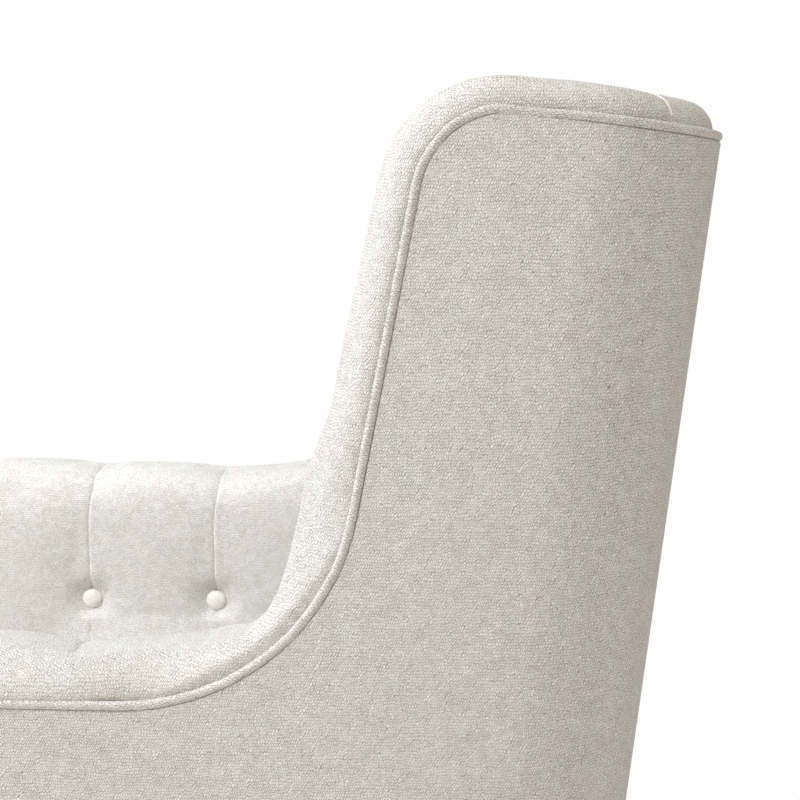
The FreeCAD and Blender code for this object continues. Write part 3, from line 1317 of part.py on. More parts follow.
def make_mounting_rails(screw_x, screw_ys):
    """Wooden rails from the front rail to the rear rail, and the screws that hold the seat rails to them."""
    owner = body("MountingRail")
    inner = f"({screw_x} - Sizes.mounting_rail_width / 2)"
    side = sketch(owner, "MountingRailSide", "YZ_Plane", offset=inner)
    top = f"(Sizes.rail_top - 2 * {GAP})"
    front = f"({RAIL_BACK} + {GAP})"
    rear = f"{REAR_RAIL_FACE} - {GAP}"
    outline(side, [(front, RAIL_SEAT, None), (rear_y(rear, RAIL_SEAT), RAIL_SEAT, None),
                   (rear_y(rear, top), top, None), (front, top, None)])
    pad(owner, side, "Sizes.mounting_rail_width")
    holes = sketch(owner, "MountingRailHoles", "XY_Plane", offset=f"({top} + {OVERRUN})")
    screws = []
    head = "Sizes.screw_head_height"
    for i, y in enumerate(screw_ys):
        circle(holes, screw_x, y, "Sizes.screw_diameter / 2")
        shank = rod(f"ScrewShank{i}", screw_x, y, RAIL_UNDER, "Sizes.screw_diameter", f"{top} - {RAIL_UNDER}")
        cap = rod(f"ScrewHead{i}", screw_x, y, f"({RAIL_UNDER} - {head})", "Sizes.screw_head", head)
        screw = fuse(f"Screw{i}", [shank, cap])
        screws += [screw, mirror(f"ScrewMirror{i}", screw)]
    owner.Tip = pocket(owner, holes, f"{top} - {RAIL_SEAT} + 2 * {OVERRUN}")
    keep("mounting_rail_left", owner)
    keep("mounting_rail_right", mirror("MountingRailMirror", owner))
    keep("rail_screws", group("RailScrews", screws))


def main():
    """Builds every piece, checks it and writes one STEP file for each."""
    for step in (make_floor_base, make_ball_cage, make_carriage, make_links, make_pivots, make_seat_mechanism,
                 make_side_frame, make_frame_rails, make_seat_webbing, make_seat_deck, make_outer_side,
                 make_outer_back, make_inside_arm, make_inside_back, make_arm_front, make_front_border,
                 make_seat_cushion, make_shell_piping, make_arm_buttons, make_back_buttons):
        step()
    doc.recompute()
    failed = [o.Name for o in doc.Objects if {"Invalid", "Error"} & set(o.State)]
    if failed:
        raise RuntimeError(f"these features failed: {failed}")
    os.makedirs("parts", exist_ok=True)
    for name, feature in pieces.items():
        shape = feature.Shape
        if shape.isNull() or not shape.isValid() or not shape.Solids:
            raise RuntimeError(f"{name} has no valid solid")
        shape.exportStep(f"parts/{name}.step")
    print(f"{len(pieces)} pieces, {sum(len(f.Shape.Solids) for f in pieces.values())} solids")


main()
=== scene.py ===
"""Looks of a swivel glider chair: woven upholstery over sewn padding, welts, buttons and a steel base.

Metres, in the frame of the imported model: +Z up, the sitter faces -Y, and +X is the sitter's left.
"""

import json
import logging
import math
from collections.abc import Callable
from dataclasses import dataclass, field
from enum import Enum

import bpy
import numpy as np
from mathutils import Matrix, Vector

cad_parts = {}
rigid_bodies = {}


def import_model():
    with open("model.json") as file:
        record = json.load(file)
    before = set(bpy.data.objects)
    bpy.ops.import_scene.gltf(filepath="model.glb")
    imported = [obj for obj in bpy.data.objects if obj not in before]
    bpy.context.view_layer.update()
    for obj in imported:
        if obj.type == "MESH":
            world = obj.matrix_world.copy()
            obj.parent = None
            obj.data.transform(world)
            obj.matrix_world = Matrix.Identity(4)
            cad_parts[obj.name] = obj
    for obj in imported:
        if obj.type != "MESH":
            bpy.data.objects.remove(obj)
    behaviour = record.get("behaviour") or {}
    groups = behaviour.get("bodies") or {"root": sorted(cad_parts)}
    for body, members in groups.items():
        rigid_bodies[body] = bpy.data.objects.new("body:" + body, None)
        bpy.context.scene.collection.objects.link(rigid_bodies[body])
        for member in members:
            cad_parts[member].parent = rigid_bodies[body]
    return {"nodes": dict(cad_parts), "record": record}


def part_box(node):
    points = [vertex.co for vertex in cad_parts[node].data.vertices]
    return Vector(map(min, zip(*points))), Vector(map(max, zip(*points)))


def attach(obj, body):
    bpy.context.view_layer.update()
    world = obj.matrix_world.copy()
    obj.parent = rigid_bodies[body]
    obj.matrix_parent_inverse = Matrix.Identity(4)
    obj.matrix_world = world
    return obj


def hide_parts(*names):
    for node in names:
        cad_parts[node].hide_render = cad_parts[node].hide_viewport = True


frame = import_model()

log = logging.getLogger("swivel_glider")
Piece = bpy.types.Object
Material = bpy.types.Material
Tree = bpy.types.NodeTree
Socket = bpy.types.NodeSocket
Span = tuple[float, float]
MM = 0.001
ACROSS = Vector((1, 0, 0))
UP = Vector((0, 0, 1))
WHITE = (1, 1, 1, 1)
WAVE_TURN = 6.28


class Side(Enum):
    """The sitter's sides, with the sign of X there."""

    LEFT = 1
    RIGHT = -1

    @property
    def word(self) -> str:
        """The side's name as used in node names."""
        return self.name.lower()


# Shared helpers


def linear(colour: str) -> tuple[float, float, float, float]:
    """Turns an sRGB hex colour to linear light.

    Args:
        colour: Six hex digits, with or without a hash.

    Returns:
        Linear red, green, blue and an alpha of 1.
    """
    digits = colour.lstrip("#")
    parts = [int(digits[i:i + 2], 16) / 255 for i in (0, 2, 4)]
    light = [c / 12.92 if c <= 0.04045 else ((c + 0.055) / 1.055) ** 2.4 for c in parts]
    return (*light, 1.0)


def feed(tree: Tree, node: bpy.types.Node, inputs: dict) -> None:
    """Fills a node's sockets.

    Args:
        tree: The node tree that holds it.
        node: The node.
        inputs: Socket name or number to a value, or to an output socket that is linked to it.
    """
    for key, given in inputs.items():
        if isinstance(given, Socket):
            tree.links.new(given, node.inputs[key])
        else:
            node.inputs[key].default_value = given


def add_node(tree: Tree, kind: str, inputs: dict | None = None, **settings) -> bpy.types.Node:
    """Adds a shader node.

    Args:
        tree: The node tree that gets it.
        kind: The node's type name, without the ShaderNode prefix.
        inputs: What goes into its sockets.
        settings: Attributes of the node.

    Returns:
        The new node.
    """
    node = tree.nodes.new("ShaderNode" + kind)
    for name, setting in settings.items():
        setattr(node, name, setting)
    feed(tree, node, inputs or {})
    return node


def calc(tree: Tree, operation: str, *given, clamp: bool = False) -> Socket:
    """Adds a sum of sockets and numbers and gives its result."""
    return add_node(tree, "Math", dict(enumerate(given)), operation=operation, use_clamp=clamp).outputs[0]


def vector(tree: Tree, operation: str, *given) -> Socket:
    """Adds a sum of vectors and gives its result."""
    return add_node(tree, "VectorMath", dict(enumerate(given)), operation=operation).outputs[0]


def ranged(tree: Tree, *given, **settings) -> Socket:
    """Adds a map from one span of numbers to another and gives its result."""
    return add_node(tree, "MapRange", dict(enumerate(given)), **settings).outputs[0]


def mixed(tree: Tree, share: Socket | float, first, second) -> Socket:
    """Mixes two colours, each given as a socket, as numbers or in hex digits."""
    colours = [linear(colour) if isinstance(colour, str) else colour for colour in (first, second)]
    return add_node(tree, "MixRGB", dict(enumerate((share, *colours)))).outputs[0]


def noise(tree: Tree, place: Socket, grain: float, detail: float) -> bpy.types.Node:
    """Adds noise with a grain of some size."""
    return add_node(tree, "TexNoise", {"Vector": place, "Scale": 1 / grain, "Detail": detail})


def relief(tree: Tree, height: Socket, depth: float, strength: float) -> Socket:
    """Adds a fine relief and gives its normal."""
    return add_node(tree, "Bump", {"Height": height, "Distance": depth, "Strength": strength}).outputs[0]


def new_material(name: str) -> tuple[Material, Tree, bpy.types.Node]:
    """Makes a material with an empty Principled shader.

    Args:
        name: The material's name.

    Returns:
        The material, its node tree and its Principled node.
    """
    material = bpy.data.materials.new(name)
    material.use_nodes = True
    tree = material.node_tree
    return material, tree, tree.nodes["Principled BSDF"]


def solo(piece: Piece) -> Piece:
    """Selects one object alone and makes it active."""
    for other in bpy.context.view_layer.objects:
        other.select_set(False)
    piece.select_set(True)
    bpy.context.view_layer.objects.active = piece
    return piece


def points_of(piece: Piece) -> np.ndarray:
    """The mesh's vertex positions as rows."""
    flat = np.empty(len(piece.data.vertices) * 3)
    piece.data.vertices.foreach_get("co", flat)
    return flat.reshape(-1, 3)


def normals_of(piece: Piece) -> np.ndarray:
    """The mesh's vertex normals as rows."""
    flat = np.empty(len(piece.data.vertices) * 3)
    piece.data.vertices.foreach_get("normal", flat)
    return flat.reshape(-1, 3)


def set_points(piece: Piece, points: np.ndarray) -> None:
    """Moves the mesh's vertices."""
    piece.data.vertices.foreach_set("co", points.ravel())
    piece.data.update()


def sink(piece: Piece, depths: np.ndarray) -> None:
    """Moves each vertex inwards by a depth of its own."""
    set_points(piece, points_of(piece) - normals_of(piece) * depths[:, None])


def placed(name: str, data: bpy.types.ID) -> Piece:
    """Puts a mesh, curve, lamp or camera in the scene."""
    piece = bpy.data.objects.new(name, data)
    bpy.context.scene.collection.objects.link(piece)
    return piece


def joined(pieces: list[Piece]) -> Piece:
    """Joins pieces into the first one."""
    solo(pieces[0])
    for other in pieces[1:]:
        other.select_set(True)
    if len(pieces) > 1:
        bpy.ops.object.join()
    return pieces[0]


def copy_nodes(name: str, *nodes: str) -> Piece:
    """Starts a piece from copies of CAD nodes, with their loose triangles merged.

    Args:
        name: The new piece's name.
        nodes: Names of the nodes that are copied and joined.

    Returns:
        The new object.
    """
    copies = [placed(name, frame["nodes"][node].data.copy()) for node in nodes]
    for copy in copies:
        copy.data.materials.clear()
    piece = joined(copies)
    piece.name = piece.data.name = name
    in_edit_mode(piece, lambda: bpy.ops.mesh.remove_doubles(threshold=0.01 * MM))
    for layer in list(piece.data.uv_layers):
        piece.data.uv_layers.remove(layer)
    if piece.data.has_custom_normals:
        bpy.ops.mesh.customdata_custom_splitnormals_clear()
    return piece


def in_edit_mode(piece: Piece, work: Callable[[], object]) -> None:
    """Runs one step in edit mode with the whole mesh selected."""
    solo(piece)
    bpy.ops.object.mode_set(mode="EDIT")
    bpy.ops.mesh.select_all(action="SELECT")
    work()
    bpy.ops.object.mode_set(mode="OBJECT")


def apply_modifier(piece: Piece, kind: str, **settings) -> None:
    """Adds a modifier and applies it at once."""
    modifier = piece.modifiers.new(kind.title(), kind)
    for name, setting in settings.items():
        setattr(modifier, name, setting)
    solo(piece)
    bpy.ops.object.modifier_apply(modifier=modifier.name)


def smooth(piece: Piece, degrees: float = 60) -> None:
    """Shades a piece smooth, with edges over an angle left sharp."""
    solo(piece)
    bpy.ops.object.shade_smooth_by_angle(angle=math.radians(degrees))


def flip(mesh: bpy.types.Mesh) -> None:
    """Mirrors a mesh to the other side of the chair, with its faces pointing outwards."""
    mesh.transform(Matrix.Diagonal((-1, 1, 1, 1)))
    mesh.flip_normals()


def mirrored(piece: Piece, name: str) -> Piece:
    """Copies a piece to the other side of the chair.

    Args:
        piece: A piece on the left.
        name: The copy's name.

    Returns:
        The copy, with a mesh of its own.
    """
    copy = placed(name, piece.data.copy())
    copy.data.name = name
    flip(copy.data)
    return copy


def soft_step(values: np.ndarray, low: float, high: float) -> np.ndarray:
    """A smooth rise from 0 at low to 1 at high."""
    share = np.clip((values - low) / (high - low), 0, 1)
    return share * share * (3 - 2 * share)


def bell(values: np.ndarray, width: float) -> np.ndarray:
    """A bell curve of height 1."""
    return np.exp(-(values / width) ** 2)


def mount(piece: Piece, body: str, slot: str, material: Material, *nodes: str) -> None:
    """Dresses a piece and fixes it to its body.

    Args:
        piece: The finished piece.
        body: The body that it rides on.
        slot: The record's material slot; not used.
        material: Its finish.
        nodes: The nodes that it stands for.
    """
    piece.data.materials.clear()
    piece.data.materials.append(material)
    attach(piece, body)
    if nodes:
        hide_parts(*nodes)
    log.info("%s: %d faces on %s", piece.name, len(piece.data.polygons), body)


# Finishes


@dataclass(frozen=True)
class LinenWeave:
    """Linen-look upholstery cloth: polyester spun thick and thin, in a weave of short slanted floats.

    Spun yarn gives a matt face of small slanted nubs, lighter and darker slubs, a
    faint pink and green cast from place to place, and a soft bloom at the edges. The hollows between the nubs
    are drawn darker, as painted shade.
    """

    name: str = "linen_look_weave"
    yarn: str = "#F3F2EF"
    # Painted shade: the colour of the shaded hollows between the floats.
    gap: str = "#9A948B"
    warm: str = "#F2EAE5"
    cool: str = "#EAEEE9"
    cast_share: float = 0.45
    cast_span: Span = (0.35, 0.65)
    # How strongly, and over how much of the float's height, the painted shade of the hollows reaches.
    gap_share: float = 0.8
    gap_end: float = 0.75
    slub_share: float = 0.36
    fleck_share: float = 0.35
    fleck_lift: float = 0.3
    float_length_mm: float = 2.5
    float_width_mm: float = 1.45
    float_end_gain: float = 1.8
    slant: float = math.radians(57)
    stagger: float = 0.618
    facing_power: float = 6.0
    wobble_mm: float = 0.95
    fleck_mm: float = 1.6
    slub_mm: float = 9.0
    mottle_mm: float = 24.0
    relief_mm: float = 0.35
    bias: float = 0.0

    def material(self) -> Material:
        """Builds the cloth.

        Returns:
            The material. Its floats slant between whichever two of the object's axes a face shows.
        """
        made, tree, shader = new_material(self.name)
        source = add_node(tree, "TexCoord").outputs
        turned = add_node(tree, "Mapping", {"Vector": source["Object"], "Rotation": (self.bias, 0.0, 0.0)})
        scaled = add_node(tree, "VectorMath", {0: turned.outputs[0], "Scale": 1 / MM}, operation="SCALE")
        place = scaled.outputs[0]
        nub = self.floats(tree, place, source["Normal"])
        fleck = add_node(tree, "TexVoronoi", {"Vector": place, "Scale": 1 / self.fleck_mm}).outputs["Color"]
        slub = noise(tree, place, self.slub_mm, 3.0).outputs[0]
        mottle = noise(tree, place, self.mottle_mm, 2.0).outputs[0]
        tint = mixed(tree, ranged(tree, mottle, *self.cast_span), self.warm, self.cool)
        yarn = mixed(tree, self.cast_share, self.yarn, tint)
        # Painted shade: darker where the floats' height falls away into the hollows between them.
        depth = ranged(tree, nub, 0.0, self.gap_end, self.gap_share, 0.0)
        patch = calc(tree, "MULTIPLY_ADD", slub, self.slub_share, -self.slub_share / 2)
        stray = calc(tree, "MULTIPLY_ADD", fleck, self.fleck_share, patch)
        # The painted shade of the hollows, together with the slubs' and flecks' own random tone.
        gap_shade_and_slubs = calc(tree, "ADD", depth, stray, clamp=True)
        lift = calc(tree, "MULTIPLY_ADD", fleck, -self.fleck_lift, nub)
        feed(tree, shader, {
            "Base Color": mixed(tree, gap_shade_and_slubs, yarn, self.gap),
            "Normal": relief(tree, lift, self.relief_mm * MM, 0.55),
            "Roughness": 0.95,
            "Specular IOR Level": 0.15,
            "Sheen Weight": 0.12,
            "Sheen Roughness": 0.6,
        })
        return made

    def floats(self, tree: Tree, place: Socket, normal: Socket) -> Socket:
        """Draws staggered rows of floats on each pair of axes and mixes them by the way the face looks.

        Args:
            tree: The material's nodes.
            place: The place on the object in millimetres.
            normal: The object's normal.

        Returns:
            The height of the floats, from 0 in the gaps to 1 on their backs.
        """
        drift = noise(tree, place, 2 * self.float_length_mm, 1.0).outputs["Color"]
        centred = vector(tree, "SUBTRACT", drift, (0.5, 0.5, 0.5))
        moved = vector(tree, "MULTIPLY_ADD", centred, (4 * self.wobble_mm,) * 3, place)
        axes = add_node(tree, "SeparateXYZ", {0: moved}).outputs
        firm = vector(tree, "POWER", vector(tree, "ABSOLUTE", normal), (self.facing_power,) * 3)
        shares = add_node(tree, "SeparateXYZ", {0: firm}).outputs
        rise, run = math.sin(self.slant), math.cos(self.slant)
        width, length = self.float_width_mm, self.float_length_mm
        total, share = 0.0, 0.0
        for axis, (first, second) in enumerate(((1, 2), (0, 2), (0, 1))):
            rows = self.weigh(tree, axes[first], rise / width, axes[second], -run / width)
            line = self.weigh(tree, axes[first], run / length, axes[second], rise / length)
            run_on = calc(tree, "MULTIPLY_ADD", calc(tree, "FLOOR", rows), self.stagger, line)
            ends = self.hump(tree, run_on, self.float_end_gain)
            nub = calc(tree, "MULTIPLY", self.hump(tree, rows, 1.0), ends)
            total = calc(tree, "MULTIPLY_ADD", nub, shares[axis], total)
            share = calc(tree, "ADD", shares[axis], share)
        return calc(tree, "DIVIDE", total, share)

    @staticmethod
    def weigh(tree: Tree, first: Socket, one: float, second: Socket, two: float) -> Socket:
        """Adds two sockets, each times a number."""
        return calc(tree, "MULTIPLY_ADD", first, one, calc(tree, "MULTIPLY", second, two))

    @staticmethod
    def hump(tree: Tree, count: Socket, gain: float) -> Socket:
        """A hump in each whole step of a count, cut off at 1."""
        wave = calc(tree, "SINE", calc(tree, "MULTIPLY", count, math.pi))
        return calc(tree, "MULTIPLY", calc(tree, "ABSOLUTE", wave), gain, clamp=True)


@dataclass(frozen=True)
class PlainFinish:
    """A finish of one colour with a fine grain, such as powder coat, zinc plate, nylon or rubber."""

    name: str
    colour: str
    tint: str
    grain_mm: float
    relief_mm: float
    roughness: float
    metallic: float = 0.0
    patch_grains: float = 40
    spread: float = 0.15

    def material(self) -> Material:
        """Builds the finish.

        Returns:
            The material, with colour, roughness and relief varied by the grain.
        """
        made, tree, shader = new_material(self.name)
        place = add_node(tree, "TexCoord").outputs["Object"]
        grain = noise(tree, place, self.grain_mm * MM, 4.0).outputs[0]
        patch = noise(tree, place, self.patch_grains * self.grain_mm * MM, 2.0).outputs[0]
        smoothest = self.roughness * (1 - self.spread)
        roughest = min(1.0, self.roughness * (1 + self.spread))
        feed(tree, shader, {
            "Base Color": mixed(tree, patch, self.colour, self.tint),
            "Normal": relief(tree, grain, self.relief_mm * MM, 0.6),
            "Roughness": ranged(tree, grain, 0.3, 0.7, smoothest, roughest),
            "Metallic": self.metallic,
        })
        return made


@dataclass(frozen=True)
class FrameTimber:
    """Kiln-dried hardwood and plywood, sawn and left bare: long grain streaks with pale and dark lines."""

    name: str = "bare_hardwood"
    early: str = "#D2B48C"
    late: str = "#A97F52"
    ring_mm: float = 7.0
    pore_mm: float = 0.8
    stretch: float = 0.06

    def material(self) -> Material:
        """Builds the wood.

        Returns:
            The material, with its grain along the chair's width.
        """
        made, tree, shader = new_material(self.name)
        place = add_node(tree, "TexCoord").outputs["Object"]
        along = add_node(tree, "Mapping", {"Vector": place, "Scale": (self.stretch, 1.0, 1.0)}).outputs[0]
        rings = add_node(tree, "TexWave", {"Vector": along, "Scale": 1 / (WAVE_TURN * self.ring_mm * MM),
                                           "Distortion": 6.0, "Detail": 3.0, "Detail Scale": 1.5},
                         wave_type="RINGS", rings_direction="X")
        pores = noise(tree, along, self.pore_mm * MM, 3.0).outputs[0]
        streak = calc(tree, "MULTIPLY", rings.outputs["Fac"], pores)
        feed(tree, shader, {
            "Base Color": mixed(tree, streak, self.early, self.late),
            "Normal": relief(tree, pores, 0.2 * MM, 0.4),
            "Roughness": 0.7,
        })
        return made


@dataclass(frozen=True)
class ElasticWebbing:
    """Elastic upholstery webbing: rubber cords under a ribbed polypropylene weave."""

    name: str = "elastic_webbing"
    rib: str = "#3A3733"
    # Painted shade: the colour of the shaded grooves between the ribs.
    gap: str = "#171614"
    rib_mm: float = 3.0
    knit_mm: float = 1.2

    def material(self) -> Material:
        """Builds the webbing, with ribs across its width."""
        made, tree, shader = new_material(self.name)
        place = add_node(tree, "TexCoord").outputs["Object"]
        ribs = add_node(tree, "TexWave", {"Vector": place, "Scale": 1 / (WAVE_TURN * self.rib_mm * MM) * 2,
                                          "Distortion": 0.4}, bands_direction="X")
        knit = noise(tree, place, self.knit_mm * MM, 2.0).outputs[0]
        weave = calc(tree, "MULTIPLY", ribs.outputs["Fac"], knit)
        # Base colour darker in the grooves between the ribs, as painted shade, and varied by the knit's
        # random tone.
        feed(tree, shader, {
            "Base Color": mixed(tree, weave, self.gap, self.rib),
            "Normal": relief(tree, weave, 0.5 * MM, 0.7),
            "Roughness": 0.85,
        })
        return made


# The shell's lines


@dataclass(frozen=True)
class ShellLines:
    """The welt line of the shell in the side view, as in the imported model."""

    half_width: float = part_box("outer_side_left")[1].x
    front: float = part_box("arm_front_left")[0].y
    rear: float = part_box("outer_back")[1].y
    wall: float = 0.100
    crown: float = 0.026
    arm_height: float = 0.620
    back_height: float = 1.028
    wing_depth: float = 0.200
    wing_lean: float = math.radians(10.8)
    back_lean: float = math.radians(6.5)
    top_slope: float = math.radians(7.0)
    arm_corner: float = 0.060
    arm_sweep: float = 0.165
    wing_corner: float = 0.061
    half_depth: float = 0.3875
    arm_fill: float = 5 * MM
    arm_rise: float = 0.02
    rise_start: float = 0.07
    rise_length: float = 0.12
    heel_rise: float = 22 * MM
    wing_fill: float = 4.6 * MM
    wing_taper: float = 3 * MM
    taper_heights: Span = (0.86, 0.97)
    wing_spread: float = 0.185
    spread_start: float = 0.825
    top_sink: float = 6 * MM
    corner_fill: float = 8 * MM
    full_sweep: float = 0.020
    seam_setback: float = 19 * MM
    seam_turn: float = math.radians(24.6)

    @property
    def inner(self) -> float:
        """The sitter's side of a wall."""
        return self.half_width - self.wall

    def outside(self, y: np.ndarray, z: np.ndarray, full: bool = False) -> np.ndarray:
        """How far points of the side view lie outside the welt line, or the fuller line of the padding.

        Args:
            y: Places along the depth.
            z: Heights.
            full: Whether the arm and wing lines stand out, the top line lies lower and the sweep is tighter.

        Returns:
            Distances, negative inside the line.
        """
        more = 1 if full else 0
        sweep = self.full_sweep if full else self.arm_sweep
        top_y = self.half_depth - self.wing_depth
        front = self.front + self.crown - y
        heel = self.heel_rise * soft_step(y, self.rise_start - self.rise_length, self.rise_start)
        arm = z - self.arm_height
        arm = arm - more * (self.arm_fill + heel + self.arm_rise * np.maximum(self.rise_start - y, 0))
        wing = (top_y - (self.back_height - z) * math.tan(self.wing_lean) - y) * math.cos(self.wing_lean)
        spread = self.wing_spread * np.maximum(self.spread_start - z, 0)
        taper = self.wing_taper * soft_step(z, *self.taper_heights)
        wing = wing - more * (self.wing_fill + spread - taper)
        top = (z - self.back_height + (y - top_y) * math.tan(self.top_slope)) * math.cos(self.top_slope)
        top = top + more * self.top_sink
        step = -corner_blend(-arm, -wing, sweep)
        below = corner_blend(front, step, self.arm_corner)
        return corner_blend(below, top, self.wing_corner - more * self.corner_fill)

    def level(self, points: np.ndarray, full: bool = False) -> np.ndarray:
        """How far points in space lie outside the welt line or the fuller line."""
        return self.outside(points[:, 1], points[:, 2], full)

    def beside(self, x: np.ndarray, band: Span) -> np.ndarray:
        """A smooth rise across a band inside the panel, given by its distances from the panel."""
        return soft_step(x, self.half_width - band[0], self.half_width - band[1])

    def rearward(self, points: np.ndarray) -> np.ndarray:
        """How far points lie behind the start of the rear corners, square to the lean of the back."""
        start, _, way = self.corner_axis()
        return (points - np.array(start)) @ np.array(way)

    def corner_axis(self) -> tuple[Vector, Vector, Vector]:
        """The axis of the left rear corner.

        Returns:
            A point on the axis, its direction, and the direction across it towards the rear.
        """
        lean = self.back_lean
        across = self.half_depth * math.cos(lean) - self.back_height * math.sin(lean) - self.wall
        rearward = Vector((0, math.cos(lean), -math.sin(lean)))
        point = Vector((self.inner, 0, 0)) + rearward * across
        return point, Vector((0, math.sin(lean), math.cos(lean))), rearward

    def corner_seam(self) -> tuple[Vector, Vector]:
        """The plane in which the pads meet at the left rear corner.

        Returns:
            A point of the plane at the sitter's side, and the direction square to it.
        """
        point, _, rearward = self.corner_axis()
        square = ACROSS * math.sin(self.seam_turn) - rearward * math.cos(self.seam_turn)
        return point + rearward * self.seam_setback, square

    def slope(self, y: np.ndarray, z: np.ndarray, full: bool = False) -> tuple[np.ndarray, np.ndarray]:
        """The direction in which points leave the line fastest, along the depth and the height."""
        step = 0.5 * MM
        along_y = self.outside(y + step, z, full) - self.outside(y - step, z, full)
        along_z = self.outside(y, z + step, full) - self.outside(y, z - step, full)
        return along_y / (2 * step), along_z / (2 * step)


def corner_blend(first: np.ndarray, second: np.ndarray, radius: float) -> np.ndarray:
    """The larger of two distances, with the corner between them rounded."""
    near = np.hypot(np.maximum(first + radius, 0), np.maximum(second + radius, 0)) - radius
    return np.where((first > -radius) & (second > -radius), near, np.maximum(first, second))


# Upholstery


@dataclass
class Padding:
    """Sewn cloth over foam: a copy of the solid, remeshed, blown up a little where nothing holds it."""

    voxel: float = 6 * MM
    shrink: float = 2.5 * MM
    pressure: float = 4.0
    cap: float = 8 * MM
    frames: int = 20
    held_below: float = 0.999

    def skin(self, piece: Piece) -> None:
        """Gives a piece an even skin of quads."""
        piece.data.remesh_voxel_size = self.voxel
        solo(piece)
        bpy.ops.object.voxel_remesh()

    def swell(self, piece: Piece, free: np.ndarray) -> None:
        """Args:
            piece: A remeshed piece.
            free: For each vertex, how freely it moves, from 0, held, to 1.
        """
        start = points_of(piece)
        sink(piece, free * self.shrink)
        held = piece.vertex_groups.new(name="held")
        for vertex in np.flatnonzero(free < self.held_below):
            held.add([int(vertex)], float(1 - free[vertex]), "REPLACE")
        cloth = piece.modifiers.new("Cloth", "CLOTH")
        cloth.settings.quality = 5
        cloth.settings.use_pressure = True
        cloth.settings.uniform_pressure_force = self.pressure
        cloth.settings.tension_stiffness = 8
        cloth.settings.compression_stiffness = 8
        cloth.settings.bending_stiffness = 1.0
        cloth.settings.vertex_group_mass = held.name
        cloth.settings.effector_weights.gravity = 0
        cloth.collision_settings.use_collision = False
        cloth.point_cache.frame_end = self.frames
        for step in range(1, self.frames + 1):
            bpy.context.scene.frame_set(step)
        solo(piece)
        bpy.ops.object.modifier_apply(modifier=cloth.name)
        bpy.context.scene.frame_set(1)
        moved = points_of(piece) - start
        length = np.linalg.norm(moved, axis=1)
        set_points(piece, start + moved * (np.minimum(length, self.cap) / np.maximum(length, 1e-9))[:, None])
        piece.vertex_groups.clear()

    def relax(self, piece: Piece, times: int) -> None:
        """Smooths the skin."""
        apply_modifier(piece, "SMOOTH", iterations=times, factor=0.5)

    def refine(self, piece: Piece) -> None:
        """Halves the spacing of the skin."""
        apply_modifier(piece, "SUBSURF", levels=1, render_levels=1)


@dataclass(frozen=True)
class Folds:
    """Pleats in the cloth, drawn on skins that are cut finer beside them."""

    steep: float = 1.6 * MM
    easy: float = 4.5 * MM
    reach: float = 7 * MM
    shown: float = 0.3
    rounds: int = 2

    def profile(self, across: np.ndarray, depth: float) -> np.ndarray:
        """A pleat's depth: a sharp line, steep on the side of its free edge and easy on the other."""
        return depth * np.where(across > 0, np.exp(-across / self.steep), np.exp(across / self.easy))

    def near(self, places: np.ndarray, lines: tuple[float, ...]) -> np.ndarray:
        """Whether places lie close to one of the pleats' lines."""
        return np.min([np.abs(places - line) for line in lines], axis=0) < self.reach

    def cut_finer(self, piece: Piece, chosen: Callable[[np.ndarray], np.ndarray]) -> None:
        """Subdivides some faces of a skin.

        Args:
            piece: The piece.
            chosen: Says of each point whether the faces on it are cut.
        """
        for _ in range(self.rounds):
            solo(piece)
            bpy.ops.object.mode_set(mode="EDIT")
            bpy.ops.mesh.select_mode(type="VERT")
            bpy.ops.mesh.select_all(action="DESELECT")
            bpy.ops.object.mode_set(mode="OBJECT")
            piece.data.vertices.foreach_set("select", chosen(points_of(piece)))
            bpy.ops.object.mode_set(mode="EDIT")
            bpy.ops.mesh.subdivide(number_cuts=1, smoothness=0.0)
            bpy.ops.object.mode_set(mode="OBJECT")


